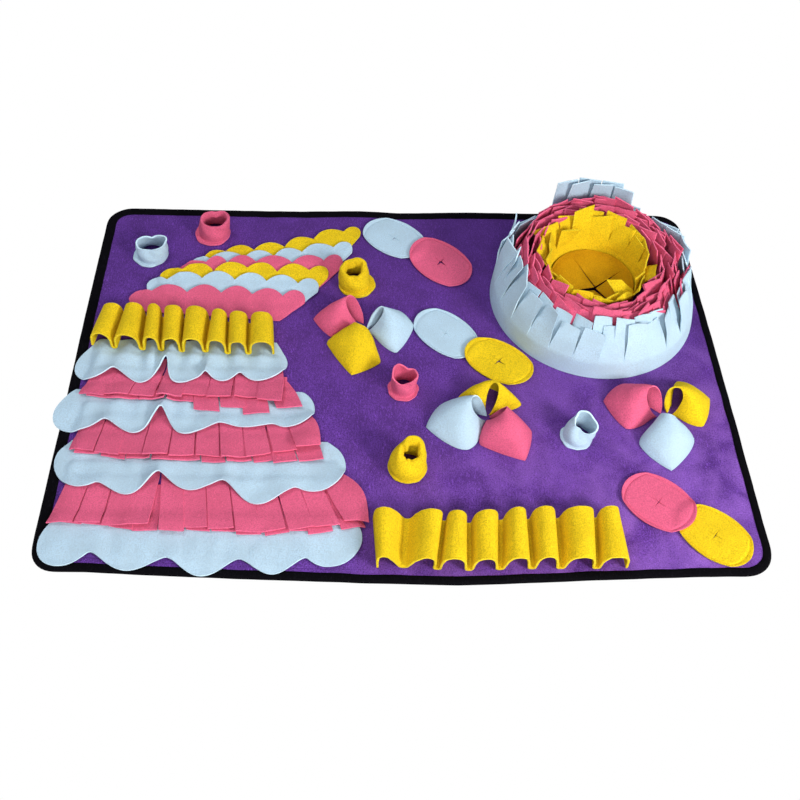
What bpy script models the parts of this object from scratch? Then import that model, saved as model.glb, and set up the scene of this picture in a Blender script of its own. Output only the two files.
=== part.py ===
"""A felt snuffle mat: a bound mat with flaps, fringes, loops, cups, petals, ovals and a bowl.

The mat lies on Z = 0 with its long side along X and its front edge at -Y.
Tables are in millimetres. Every piece of felt is one closed solid, GAP from its neighbours.
"""

import math
import random

import bmesh
import bpy
import numpy as np

MM = 0.001
GAP = 0.35

# ---------------------------------------------------------------- driving sizes
MAT_LENGTH = 700.0
MAT_WIDTH = 500.0
MAT_THICKNESS = 3.0
MAT_TOP = MAT_THICKNESS + GAP
FELT = 1.5
THIN_FELT = 1.2
LOOP_FELT = 2.2
CUP_FELT = 1.8

BINDING_WIDTH = 11.0
BINDING_TAPE = 0.6
BINDING_HEIGHT = 3.2
BINDING_ROUND = 0.5
# The mat's edge is pressed thin inside the folded binding and stands clear of it all round.
BINDING_CLEAR = 0.3
MAT_RIM_INSET = 1.0
MAT_RIM_LOW = BINDING_TAPE + BINDING_CLEAR
MAT_RIM_HIGH = BINDING_HEIGHT - BINDING_TAPE - BINDING_CLEAR

# How far each side of the mat bows out of its rectangle: place along the side, bow outward.
FRONT_BOW = ((-300, -8.0), (-230, -4.0), (-120, 0.6), (-29, 3.6), (45, 5.6), (100, 3.6),
             (158, 1.0), (250, -2.6), (298, -3.6))
RIGHT_BOW = ((-190, -0.4), (-60, 0.3), (60, 0.6), (205, 0.4))
BACK_BOW = ((300, 5.5), (200, 5.0), (80, 4.2), (2, 0.2), (-47, 2.8), (-120, -0.4), (-200, -1.0),
            (-300, -0.8))
LEFT_BOW = ((205, 0.0), (60, 0.5), (-60, -0.3), (-205, -0.2))
CORNER_RADII = {"front_right": 40.0, "back_right": 37.0, "back_left": 38.0, "front_left": 28.0}
CORNER_STEPS = 5
SMOOTH_ANGLE = math.radians(38)

# ---------------------------------------------------------------- colours
COLOURS = {
    "purple": (0.086, 0.030, 0.220),
    "black": (0.006, 0.006, 0.008),
    "blue": (0.500, 0.660, 0.790),
    "pink": (0.770, 0.135, 0.260),
    "yellow": (0.900, 0.620, 0.030),
}


# ---------------------------------------------------------------- small helpers
def clear_scene():
    for thing in list(bpy.data.objects):
        bpy.data.objects.remove(thing)


def felt(colour):
    material = bpy.data.materials.get(colour + "_felt")
    if material is None:
        material = bpy.data.materials.new(colour + "_felt")
        material.use_nodes = True
        surface = material.node_tree.nodes["Principled BSDF"]
        surface.inputs["Base Color"].default_value = (*COLOURS[colour], 1.0)
        surface.inputs["Roughness"].default_value = 0.95
    return material


def object_from(name, mesh_data, colour):
    """Turn a bmesh in millimetres into an object in metres with its faces pointing out.

    Bends under SMOOTH_ANGLE are shaded round and cut edges stay sharp.
    """
    bmesh.ops.recalc_face_normals(mesh_data, faces=mesh_data.faces)
    bmesh.ops.scale(mesh_data, vec=(MM, MM, MM), verts=mesh_data.verts)
    mesh = bpy.data.meshes.new(name)
    mesh_data.to_mesh(mesh)
    mesh_data.free()
    mesh.shade_smooth()
    mesh.set_sharp_from_angle(angle=SMOOTH_ANGLE)
    mesh.materials.append(felt(colour))
    piece = bpy.data.objects.new(name, mesh)
    bpy.context.scene.collection.objects.link(piece)
    return piece


def cell_solid(name, upper, lower, colour, filled=None, wrap=False):
    """A sheet between two grids of points, with walls round every edge of its filled cells."""
    columns, rows = upper.shape[:2]
    cell_columns = columns if wrap else columns - 1
    if filled is None:
        filled = np.ones((cell_columns, rows - 1), dtype=bool)
    mesh_data = bmesh.new()
    corners = {}

    def corner(side, i, j):
        key = (side, i % columns, j)
        if key not in corners:
            grid = upper if side else lower
            corners[key] = mesh_data.verts.new(grid[i % columns, j])
        return corners[key]

    def is_filled(i, j):
        if wrap:
            i %= cell_columns
        return 0 <= i < cell_columns and 0 <= j < rows - 1 and filled[i, j]

    for i in range(cell_columns):
        for j in range(rows - 1):
            if not filled[i, j]:
                continue
            loop = ((i, j), (i + 1, j), (i + 1, j + 1), (i, j + 1))
            beside = ((i, j - 1), (i + 1, j), (i, j + 1), (i - 1, j))
            for side in (0, 1):
                mesh_data.faces.new([corner(side, *at) for at in loop])
            for start, end, next_cell in zip(loop, loop[1:] + loop[:1], beside):
                if not is_filled(*next_cell):
                    mesh_data.faces.new([corner(0, *start), corner(0, *end),
                                         corner(1, *end), corner(1, *start)])
    return object_from(name, mesh_data, colour)


def loft(name, rings, colour, closed):
    """A solid through rings of points: closed on itself, or capped at its first and last ring."""
    mesh_data = bmesh.new()
    loops = [[mesh_data.verts.new(point) for point in ring] for ring in rings]
    count = len(loops[0])
    following = loops[1:] + loops[:1] if closed else loops[1:]
    for low, high in zip(loops, following):
        for i in range(count):
            after = (i + 1) % count
            mesh_data.faces.new([low[i], low[after], high[after], high[i]])
    if not closed:
        mesh_data.faces.new(loops[0])
        mesh_data.faces.new(loops[-1])
    return object_from(name, mesh_data, colour)


def along(values, t):
    """The value at t, from 0 to 1, on a chain of values with equal steps between them."""
    return np.interp(t * (len(values) - 1), range(len(values)), values)


def ramp(value, low, high):
    return min(1.0, max(0.0, (value - low) / (high - low)))


# ---------------------------------------------------------------- mat and binding
def mat_outline():
    """Points round the mat's outer edge, anticlockwise, with the outward direction at each."""
    half_length = MAT_LENGTH / 2
    half_width = MAT_WIDTH / 2
    sides = (
        (FRONT_BOW, lambda at, bow: (at, -half_width - bow)),
        (RIGHT_BOW, lambda at, bow: (half_length + bow, at)),
        (BACK_BOW, lambda at, bow: (at, half_width + bow)),
        (LEFT_BOW, lambda at, bow: (-half_length - bow, at)),
    )
    corners = ("front_right", "back_right", "back_left", "front_left")
    runs = [[place(at, bow) for at, bow in table] for table, place in sides]
    points = []
    for index, corner in enumerate(corners):
        run = runs[index]
        following = runs[(index + 1) % 4]
        points += run
        radius = CORNER_RADII[corner]
        if index % 2 == 0:
            apex = (following[0][0], run[-1][1])
        else:
            apex = (run[-1][0], following[0][1])
        inward = (-math.copysign(radius, apex[0]), -math.copysign(radius, apex[1]))
        centre = (apex[0] + inward[0], apex[1] + inward[1])
        start_angle = -math.pi / 2 + index * math.pi / 2
        for step in range(CORNER_STEPS + 1):
            angle = start_angle + step / CORNER_STEPS * math.pi / 2
            points.append((centre[0] + radius * math.cos(angle), centre[1] + radius * math.sin(angle)))
    places = np.array(points)
    tangents = np.roll(places, -1, axis=0) - np.roll(places, 1, axis=0)
    normals = np.stack([tangents[:, 1], -tangents[:, 0]], axis=1)
    normals /= np.linalg.norm(normals, axis=1)[:, None]
    return places, normals


def rings_from(section):
    """One ring of points round the mat for each (inset, height) of a section."""
    places, normals = mat_outline()
    rings = []
    for inset, height in section:
        flat = places - normals * inset
        rings.append(np.column_stack([flat, np.full(len(flat), height)]))
    return rings


def base_mat():
    seam = BINDING_WIDTH + BINDING_CLEAR
    rim = MAT_RIM_INSET
    rings = rings_from(((seam, 0.0), (seam, MAT_RIM_LOW), (rim, MAT_RIM_LOW),
                        (rim, MAT_RIM_HIGH), (seam, MAT_RIM_HIGH), (seam, MAT_THICKNESS)))
    return loft("base_mat", rings, "purple", closed=False)


def edge_binding():
    width, tape, high, soft = BINDING_WIDTH, BINDING_TAPE, BINDING_HEIGHT, BINDING_ROUND
    rings = rings_from(((soft, 0.0), (width, 0.0), (width, tape), (tape, tape),
                        (tape, high - tape), (width, high - tape), (width, high),
                        (soft, high), (0.0, high - soft), (0.0, soft)))
    return loft("edge_binding", rings, "black", closed=True)


# The panel under the lowest flap: its front edge follows the binding.
PANEL_OUTLINE = ((-334, -192), (-334, -222), (-306, -227.5), (-230, -233.5), (-120, -238.5),
                 (-50, -240), (-50, -192))
PANEL_THICKNESS = 0.9


def backing_panel():
    rings = [[(x, y, z) for x, y in PANEL_OUTLINE] for z in (MAT_TOP, MAT_TOP + PANEL_THICKNESS)]
    return loft("backing_panel", rings, "purple", closed=False)


# ---------------------------------------------------------------- shingled rows
def shingle_height(seams, lifts, row, x, y):
    """Height over the mat of a row that rests on the rows after it.

    seams holds each row's sewn line as (x, y, x, y), and lifts how far each one lifts a row over it.
    """
    height = 0.0
    for here, after, lift in zip(seams[row:], seams[row + 1:], lifts[row + 1:]):
        start = seam_y(here, x)
        end = seam_y(after, x)
        height += lift * ramp(y, start, end)
    return height


def seam_y(seam, x):
    x0, y0, x1, y1 = seam
    return y0 + (y1 - y0) * (x - x0) / (x1 - x0)


SCALLOP_FULLNESS = 0.75
WAVE_FULLNESS = 0.7


def round_lobe(t):
    """A half-round lobe with sharp notches: share of the way along, share of the depth."""
    return (1 - math.cos(math.pi * t)) / 2, math.sin(math.pi * t)


def scallop_lobe(t):
    return t, math.sin(math.pi * t) ** SCALLOP_FULLNESS


def wave_lobe(t):
    """A lobe between soft valleys."""
    return t, ((1 - math.cos(2 * math.pi * t)) / 2) ** WAVE_FULLNESS


def lobed_edge(notches, depths, lobes, steps, outward):
    """A scalloped edge: one lobe of the given depth between each pair of notches.

    outward is 1 where the lobes stand to the left of the way from the first notch to the last.
    """
    points = []
    for start, end, depth, lobe in zip(notches, notches[1:], depths, lobes):
        chord = (end[0] - start[0], end[1] - start[1])
        length = math.hypot(*chord)
        bulge = (-chord[1] / length * outward * depth, chord[0] / length * outward * depth)
        for step in range(steps):
            share, out = lobe(step / steps)
            points.append((start[0] + chord[0] * share + bulge[0] * out,
                           start[1] + chord[1] * share + bulge[1] * out))
    points.append(notches[-1])
    return points


# Sewn lines of the stack on the left, from the loops down to the front edge.
STACK_ORDER = ("flap_1", "fringe_1_front", "fringe_1_back", "flap_2", "fringe_2_front",
               "fringe_2_back", "flap_3", "fringe_3_front", "fringe_3_back", "flap_4")
STACK_SEAMS = {
    "flap_1": (-326, 25, -140, 25),
    "fringe_1_front": (-324, 9, -132, 9),
    "fringe_1_back": (-322, -14, -124, -14),
    "flap_2": (-332, -34, -112, -34),
    "fringe_2_front": (-326, -54, -104, -54),
    "fringe_2_back": (-324, -76, -98, -76),
    "flap_3": (-334, -98, -80, -98),
    "fringe_3_front": (-328, -128, -70, -128),
    "fringe_3_back": (-326, -150, -62, -150),
    "flap_4": (-332, -190, -52, -190),
}
STACK_LIFT = FELT + GAP
PANEL_LIFT = PANEL_THICKNESS + GAP
# Rows that lift the ones over them by more than their own felt.
STACK_EXTRA_LIFT = {"fringe_3_back": 0.5, "flap_4": PANEL_LIFT + 0.6}

# Flap edges from left to right: notches, and how far each lobe hangs below the line between them.
FLAPS = {
    "flap_1": {
        "notches": ((-336, 14), (-307, -8), (-252, 5), (-209, -16), (-173, -13), (-133, 12)),
        "depths": (22, 26, 24, 10, 19),
        "ripples": ((-252, 16, 5.0), (-300, 14, 3.0), (-210, 12, 3.0), (-172, 12, 2.0)),
    },
    "flap_2": {
        "notches": ((-338, -36), (-305, -76), (-250, -60), (-189, -79), (-134, -79), (-106, -36)),
        "depths": (36, 25, 24, 5, 24),
        "ripples": ((-250, 14, 5.0), (-300, 14, 2.0)),
    },
    "flap_3": {
        "notches": ((-338, -104), (-301, -151), (-243, -139), (-180, -148), (-109, -155), (-76, -102)),
        "depths": (25, 19, 15, 23, 31),
        "ripples": ((-243, 16, 4.0), (-180, 14, 1.5)),
    },
    "flap_4": {
        "notches": ((-336, -192), (-296, -224), (-225, -230), (-159, -231), (-97, -230), (-50, -194)),
        "depths": (33, 16, 18, 16, 26),
        "ripples": ((-296, 14, 1.0), (-225, 14, 1.0), (-97, 14, 1.0)),
    },
}
FLAP_LOBES = (round_lobe, wave_lobe, wave_lobe, wave_lobe, round_lobe)
FLAP_LOBE_STEPS = 6
FLAP_ROWS = (0.0, 0.45, 0.75, 1.0)
RIPPLE_START = 0.55


def stack_height(name, x, y):
    row = STACK_ORDER.index(name)
    seams = [STACK_SEAMS[key] for key in STACK_ORDER]
    lifts = [STACK_LIFT + STACK_EXTRA_LIFT.get(key, 0.0) for key in STACK_ORDER]
    base = MAT_TOP + (PANEL_LIFT if name == STACK_ORDER[-1] else 0.0)
    return base + shingle_height(seams, lifts, row, x, y)


def flap(name):
    shape = FLAPS[name]
    edge = lobed_edge(shape["notches"], shape["depths"], FLAP_LOBES, FLAP_LOBE_STEPS, -1)
    x0, y0, x1, y1 = STACK_SEAMS[name]
    lower = np.zeros((len(edge), len(FLAP_ROWS), 3))
    for i, (edge_x, edge_y) in enumerate(edge):
        t = i / (len(edge) - 1)
        root_x = x0 + (x1 - x0) * t
        root_y = y0 + (y1 - y0) * t
        for j, v in enumerate(FLAP_ROWS):
            x = root_x + (edge_x - root_x) * v
            y = root_y + (edge_y - root_y) * v
            z = stack_height(name, x, y)
            for ripple_x, width, rise in shape["ripples"]:
                z += rise * math.exp(-((x - ripple_x) / width) ** 2) * ramp(v, RIPPLE_START, 1.0) ** 2
            lower[i, j] = (x, y, z)
    upper = lower + np.array((0.0, 0.0, FELT))
    return cell_solid(name, upper, lower, "blue")


# Each fringe: how many strips, the left and right end of the line of tips, the tips' y along it,
# and how far the tip of a strip may lift.
FRINGES = {
    "fringe_1_front": {"strips": 8, "tips": (-337, -126), "tip_y": (-43, -46, -46, -50), "lift": 1.6},
    "fringe_1_back": {"strips": 8, "tips": (-330, -108), "tip_y": (-44, -47, -56, -58), "lift": 0.0},
    "fringe_2_front": {"strips": 10, "tips": (-335, -84), "tip_y": (-115, -121, -122, -108),
                       "lift": 1.6},
    "fringe_2_back": {"strips": 10, "tips": (-328, -78), "tip_y": (-115, -124, -126, -118),
                      "lift": 0.0},
    "fringe_3_front": {"strips": 12, "tips": (-339, -40), "tip_y": (-194, -202, -206, -196),
                       "lift": 1.2},
    "fringe_3_back": {"strips": 12, "tips": (-332, -41), "tip_y": (-197, -206, -209, -199),
                      "lift": 0.0},
}
FRINGE_BACKING = 5.0
FRINGE_SLIT = 1.0
FRINGE_UNEVEN = 3.0
# Shares of the way from the backing to the tip; the tip lifts after LIFT_START.
STRIP_STATIONS = (0.5, 1.0)
LIFT_START = 0.5


def fringe(name, seed):
    shape = FRINGES[name]
    rng = random.Random(seed)
    count = shape["strips"]
    x0, y0, x1, y1 = STACK_SEAMS[name]
    stations = 2 + len(STRIP_STATIONS)
    lower = np.zeros((2 * count, stations, 3))
    for strip in range(count):
        lift = shape["lift"] * rng.random()
        shorter = FRINGE_UNEVEN * rng.random()
        for side in (0, 1):
            t = (strip + side) / count
            root = np.array((x0 + (x1 - x0) * t, y0 + (y1 - y0) * t))
            backing = root - (0.0, FRINGE_BACKING)
            tip = np.array((along(shape["tips"], t), along(shape["tip_y"], t) + shorter))
            inward = FRINGE_SLIT / 2 * (1 if side == 0 else -1)
            places = [(root, 0.0), (backing, 0.0)]
            places += [(backing + (tip - backing) * v, v) for v in STRIP_STATIONS]
            for j, (place, v) in enumerate(places):
                x = place[0] + inward
                z = stack_height(name, x, place[1]) + lift * ramp(v, LIFT_START, 1.0)
                lower[2 * strip + side, j] = (x, place[1], z)
    upper = lower + np.array((0.0, 0.0, FELT))
    filled = np.zeros((2 * count - 1, stations - 1), dtype=bool)
    filled[:, 0] = True
    filled[::2, :] = True
    return cell_solid(name, upper, lower, "pink", filled)


# ---------------------------------------------------------------- scalloped fan rows
# Each row: colour, sewn line, and the notches of its scalloped edge from left to right.
FAN_ROWS = (
    ("pink", (-300, 79, -137, 67),
     ((-306, 96), (-282, 107), (-242, 104), (-204, 104), (-169, 102), (-134, 99), (-110, 92))),
    ("blue", (-285, 95, -125, 80),
     ((-289, 118), (-267, 125), (-227, 125), (-190, 124), (-154, 123), (-118, 120), (-96, 110))),
    ("yellow", (-268, 108, -108, 100),
     ((-276, 133), (-252, 141), (-215, 137), (-177, 143), (-143, 138), (-106, 142), (-86, 130))),
    ("pink", (-250, 120, -95, 118),
     ((-256, 144), (-225, 152), (-201, 152), (-168, 154), (-126, 154), (-89, 158), (-68, 152))),
    ("blue", (-238, 132, -85, 140),
     ((-244, 152), (-222, 160), (-182, 163), (-148, 165), (-115, 173), (-78, 182), (-57, 176))),
    ("yellow", (-222, 144, -72, 165),
     ((-229, 163), (-205, 174), (-172, 177), (-136, 183), (-102, 197), (-67, 212), (-48, 204))),
)
FAN_DEPTHS = (7.0, 10.0, 11.0, 11.0, 11.0, 8.5)
FAN_LOBE_STEPS = 4
FAN_STATIONS = (0.0, 0.5, 1.0)
FAN_LIFT = THIN_FELT + 2 * GAP


def fan_row(index):
    colour, seam, notches = FAN_ROWS[index]
    edge = lobed_edge(notches, FAN_DEPTHS, [scallop_lobe] * 6, FAN_LOBE_STEPS, 1)
    seams = [row[1] for row in FAN_ROWS]
    lifts = [FAN_LIFT] * len(seams)
    x0, y0, x1, y1 = seam
    lower = np.zeros((len(edge), len(FAN_STATIONS), 3))
    for i, (edge_x, edge_y) in enumerate(edge):
        t = i / (len(edge) - 1)
        root_x = x0 + (x1 - x0) * t
        root_y = y0 + (y1 - y0) * t
        for j, v in enumerate(FAN_STATIONS):
            x = root_x + (edge_x - root_x) * v
            y = root_y + (edge_y - root_y) * v
            lower[i, j] = (x, y, MAT_TOP + shingle_height(seams, lifts, index, x, y))
    upper = lower + np.array((0.0, 0.0, THIN_FELT))
    return cell_solid("fan_row_%d" % (index + 1), upper, lower, colour)


# ---------------------------------------------------------------- loop strips
# The sewn feet from left to right: x and y at the front edge, x and y at the back edge.
UPPER_FEET = ((-336, 25, -331, 70), (-310, 21, -306, 71), (-280, 19, -282, 70), (-260, 18, -264, 69),
              (-238, 17, -240, 67), (-213, 17, -212, 65), (-189, 15, -192, 63), (-167, 15, -169, 62),
              (-138, 15, -142, 61))
LOWER_FEET = ((-34, -237, -37, -187), (-7, -237, -2, -187), (23, -238, 33, -189), (53, -239, 57, -192),
              (82, -237, 88, -188), (113, -237, 114, -187), (139, -236, 143, -186),
              (173, -236, 180, -185), (205, -236, 204, -184))
UPPER_ARCHES = (18, 19, 18, 18, 19, 18, 17, 18)
LOWER_ARCHES = (15, 14, 15, 15, 16, 17, 16, 15)
UPPER_FRONT_BASE = MAT_TOP + 3.6
FOOT_HALF = 1.7
ARCH_STEPS = (0.0, 0.06, 0.2, 0.4, 0.6, 0.8, 0.94, 1.0)
ARCH_SQUARE = 0.5


def arch_points(left, right, base, height):
    """The outer and inner line of one arch, standing between two feet."""
    half = (right - left) / 2 - FOOT_HALF
    middle = (right + left) / 2
    outer = []
    inner = []
    for step in ARCH_STEPS:
        side = -math.cos(math.pi * step)
        rise = height * max(0.0, math.sin(math.pi * step)) ** ARCH_SQUARE
        outer.append((middle + half * side, base + LOOP_FELT + rise))
        inner.append((middle + (half - LOOP_FELT) * side, base + rise))
    return outer, inner


def loop_strip(name, feet, arches, front_base):
    upper = []
    lower = []
    for end, base in ((0, front_base), (1, MAT_TOP)):
        outer_line = []
        inner_line = []
        for left, right, height in zip(feet, feet[1:], arches):
            x_left, y_left = left[2 * end], left[2 * end + 1]
            x_right, y_right = right[2 * end], right[2 * end + 1]
            outer, inner = arch_points(x_left, x_right, base, height)
            for (outer_x, outer_z), (inner_x, inner_z) in zip(outer, inner):
                y = y_left + (y_right - y_left) * (outer_x - x_left) / (x_right - x_left)
                outer_line.append((outer_x, y, outer_z))
                inner_line.append((inner_x, y, inner_z))
        upper.append(outer_line)
        lower.append(inner_line)
    upper = np.array(upper).transpose(1, 0, 2)
    lower = np.array(lower).transpose(1, 0, 2)
    return cell_solid(name, upper, lower, "yellow")


# ---------------------------------------------------------------- cups
# name, colour, centre x, y, tube radius, flange radius, height, lean x, y of the rim,
# how oval the rim is, and the direction of its long axis in degrees.
CUPS = (
    ("cup_blue_back", "blue", -290, 168, 17.5, 21.0, 27.0, 3, -1, 0.05, 20),
    ("cup_pink_back", "pink", -222, 206, 16.5, 22.0, 25.0, 4, -1, 0.06, 80),
    ("cup_yellow_back", "yellow", -52, 127, 17.0, 23.0, 26.0, -3, -3, 0.08, 60),
    ("cup_pink_middle", "pink", -1, -27, 13.5, 17.5, 26.0, 0, 2, 0.05, 45),
    ("cup_yellow_front", "yellow", 0, -127, 16.0, 19.0, 31.0, 6, 5, 0.12, 70),
    ("cup_blue_front", "blue", 177, -88, 13.5, 17.0, 25.0, 5, 1, 0.12, 60),
)
CUP_SIDES = 16
RIM_SHRINK = 0.92
# The bend between flange and tube: how far out and how far up it reaches.
CUP_BEND_OUT = 0.8
CUP_BEND_UP = 1.2


def cup(name, colour, x, y, tube, flange, height, lean_x, lean_y, oval, axis):
    base = MAT_TOP
    # Each station: outer radius and height, inner radius and height, share of lean.
    stations = (
        (flange, base + CUP_FELT, flange, base, 0.0),
        (tube + CUP_BEND_OUT, base + CUP_FELT, tube - CUP_BEND_OUT, base, 0.0),
        (tube, base + CUP_FELT + CUP_BEND_UP, tube - CUP_FELT, base + CUP_BEND_UP, 0.0),
        (tube * RIM_SHRINK, base + height, tube * RIM_SHRINK - CUP_FELT, base + height, 1.0),
    )
    outer = np.zeros((CUP_SIDES, len(stations), 3))
    inner = np.zeros((CUP_SIDES, len(stations), 3))
    for i in range(CUP_SIDES):
        angle = 2 * math.pi * i / CUP_SIDES
        around = np.array((math.cos(angle), math.sin(angle)))
        for j, (outer_r, outer_z, inner_r, inner_z, share) in enumerate(stations):
            stretch = 1 + share * oval * math.cos(2 * (angle - math.radians(axis)))
            shift = np.array((x + lean_x * share, y + lean_y * share))
            outer[i, j] = (*(shift + around * outer_r * stretch), outer_z)
            inner[i, j] = (*(shift + around * inner_r * stretch), inner_z)
    return cell_solid(name, outer, inner, colour, wrap=True)


# ---------------------------------------------------------------- petals
# name, colour, foot of the mouth, top of the mouth (x, y, height), mouth width, and the edge
# sewn to the mat: the middle of its first side, its outer corner, the middle of its other side.
PETALS = (
    ("petal_pink_left", "pink", (-46, 64), (-60, 84, 28), 18, ((-77, 46), (-98, 73), (-77, 96))),
    ("petal_blue_left", "blue", (-36, 56), (-23, 72, 25), 18, ((-8, 82), (9, 61), (-3, 27))),
    ("petal_yellow_left", "yellow", (-43, 51), (-48, 43, 24), 22, ((-25, 14), (-50, -12), (-79, 22))),
    ("petal_yellow_middle", "yellow", (88, -59), (93, -39, 27), 18,
     ((63, -36), (90, -23), (121, -50))),
    ("petal_blue_middle", "blue", (80, -68), (67, -57, 25), 18, ((55, -102), (21, -77), (48, -47))),
    ("petal_pink_middle", "pink", (92, -75), (101, -73, 25), 18,
     ((130, -88), (121, -118), (84, -109))),
    ("petal_pink_right", "pink", (267, -58), (258, -40, 27), 19,
     ((231, -76), (212, -41), (236, -19))),
    ("petal_yellow_right", "yellow", (281, -56), (287, -37, 27), 18,
     ((296, -14), (327, -37), (312, -72))),
    ("petal_blue_right", "blue", (274, -67), (270, -76, 24), 20,
     ((300, -96), (267, -128), (241, -98))),
)
PETAL_STEPS = 8
PETAL_STATIONS = (0.0, 0.3, 0.65, 1.0)
PETAL_HEEL = 0.22
# How pointed the mouth loop is, how full the hood behind it, how wide the loop's foot and
# middle are, and how the hood comes down to its sewn edge.
MOUTH_POINT = 1.3
HOOD_FULLNESS = 0.6
FOOT_SPREAD = 0.25
MIDDLE_SPREAD = 1.3
HOOD_FALL = 2.2
HOOD_EDGE = 0.8


def bowed(start, middle, end, t):
    """A curve from start to end that passes through middle half-way."""
    start, middle, end = (np.array(point, dtype=float) for point in (start, middle, end))
    pull = 2 * middle - (start + end) / 2
    return start * (1 - t) ** 2 + pull * 2 * t * (1 - t) + end * t ** 2


def petal_edge(foot, sides, u):
    """The sewn edge, from beside the foot round the outer corner and back."""
    first, corner, last = (np.array(point, dtype=float) for point in sides)
    heel = np.array(foot, dtype=float)
    if u <= 0.5:
        return bowed(heel + (first - heel) * PETAL_HEEL, first, corner, 2 * u)
    return bowed(corner, last, heel + (last - heel) * PETAL_HEEL, 2 * u - 1)


def petal_point(foot, top, width, sides, u, v):
    """A point of the hood between its mouth loop (v = 0) and its sewn edge (v = 1)."""
    start = np.array((*foot, MAT_TOP), dtype=float)
    lean = np.array(top, dtype=float) + (0.0, 0.0, MAT_TOP) - start
    across = np.array((lean[1], -lean[0], 0.0))
    across /= np.linalg.norm(across)
    climb = math.sin(math.pi * u) ** MOUTH_POINT
    broad = math.sin(math.pi * u) ** HOOD_FULLNESS
    spread = -math.cos(math.pi * u) * (FOOT_SPREAD + MIDDLE_SPREAD * math.sin(math.pi * u))
    mouth = start + lean * climb + across * width / 2 * spread
    edge = np.array((*petal_edge(foot, sides, u), MAT_TOP))
    place = mouth + (edge - mouth) * v
    place[2] = MAT_TOP + lean[2] * (climb * (1 - v) + broad * v) * (1 - v ** HOOD_FALL) ** HOOD_EDGE
    return place


def petal(name, colour, foot, top, width, sides):
    """A hood whose felt is FELT thick along lines from the middle of its base."""
    grid = np.array([[petal_point(foot, top, width, sides, i / PETAL_STEPS, v)
                      for v in PETAL_STATIONS] for i in range(PETAL_STEPS + 1)])
    middle = np.array((*((np.array(foot) + sides[0] + sides[1] + sides[2]) / 4), MAT_TOP))
    outward = grid - middle
    outward /= np.linalg.norm(outward, axis=2)[:, :, None]
    return cell_solid(name, grid + outward * FELT, grid, colour)


# ---------------------------------------------------------------- ovals
# name, colour, centre x, y, half length, half width, direction of the long axis in degrees,
# and the name of the oval that it lies on.
OVALS = (
    ("oval_blue_back", "blue", -6, 204, 40.0, 28.5, -36.5, None),
    ("oval_pink_back", "pink", 48, 164, 42.5, 30.0, -51.0, "oval_blue_back"),
    ("oval_blue_middle", "blue", 48, 52, 40.5, 27.5, -47.0, None),
    ("oval_yellow_middle", "yellow", 104, 12, 39.5, 27.0, -34.6, "oval_blue_middle"),
    ("oval_yellow_front", "yellow", 296, -204, 38.0, 27.5, -43.0, None),
    ("oval_pink_front", "pink", 247, -167, 37.5, 29.0, -39.4, "oval_yellow_front"),
)
OVAL_SIDES = 24
SLIT_WIDTH = 0.8
OVAL_CUT = (22.0, 17.0)
OVAL_CUT_TURN = math.radians(20)
OVAL_STEP_BACK = 2.0


def cross_outline(centre, lengths, turn):
    """The outline of an X cut: two narrow slits at right angles."""
    half = SLIT_WIDTH / 2
    long_arm = lengths[0] / 2
    short_arm = lengths[1] / 2
    corners = ((long_arm, -half), (long_arm, half), (half, half), (half, short_arm),
               (-half, short_arm), (-half, half), (-long_arm, half), (-long_arm, -half),
               (-half, -half), (-half, -short_arm), (half, -short_arm), (half, -half))
    cosine = math.cos(turn)
    sine = math.sin(turn)
    return [(centre[0] + x * cosine - y * sine, centre[1] + x * sine + y * cosine)
            for x, y in corners]


def slit_plate(name, colour, outline, cut, thickness, height_at):
    """A flat piece with a cut through it, at the height that height_at gives."""
    mesh_data = bmesh.new()
    edges = []
    for loop in (outline, cut):
        points = [mesh_data.verts.new((x, y, 0.0)) for x, y in loop]
        for start, end in zip(points, points[1:] + points[:1]):
            edges.append(mesh_data.edges.new((start, end)))
    filled = bmesh.ops.triangle_fill(mesh_data, use_beauty=True, edges=edges)
    faces = [item for item in filled["geom"] if isinstance(item, bmesh.types.BMFace)]
    raised = bmesh.ops.extrude_face_region(mesh_data, geom=faces, use_keep_orig=True)
    for item in raised["geom"]:
        if isinstance(item, bmesh.types.BMVert):
            item.co.z += thickness
    for point in mesh_data.verts:
        point.co.z += height_at(point.co.x, point.co.y)
    return object_from(name, mesh_data, colour)


def oval(name, colour, x, y, half_length, half_width, direction, carrier):
    turn = math.radians(direction)
    outline = []
    for i in range(OVAL_SIDES):
        angle = 2 * math.pi * i / OVAL_SIDES
        along_axis = half_length * math.cos(angle)
        across_axis = half_width * math.sin(angle)
        outline.append((x + along_axis * math.cos(turn) - across_axis * math.sin(turn),
                        y + along_axis * math.sin(turn) + across_axis * math.cos(turn)))
    cut = cross_outline((x, y), OVAL_CUT, turn + OVAL_CUT_TURN)
    if carrier is None:
        return slit_plate(name, colour, outline, cut, FELT, lambda px, py: MAT_TOP)
    beneath = next(row for row in OVALS if row[0] == carrier)
    toward = np.array((beneath[2] - x, beneath[3] - y), dtype=float)
    distance = np.linalg.norm(toward)
    toward /= distance
    overlap_starts = distance - beneath[4] - OVAL_STEP_BACK
    slope = (FELT + GAP) / (half_length + overlap_starts)

    def tilted(px, py):
        return MAT_TOP + slope * (half_length + (px - x) * toward[0] + (py - y) * toward[1])

    return slit_plate(name, colour, outline, cut, FELT, tilted)


# ---------------------------------------------------------------- bowl
BOWL_CENTRE = (220.0, 107.5)

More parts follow.
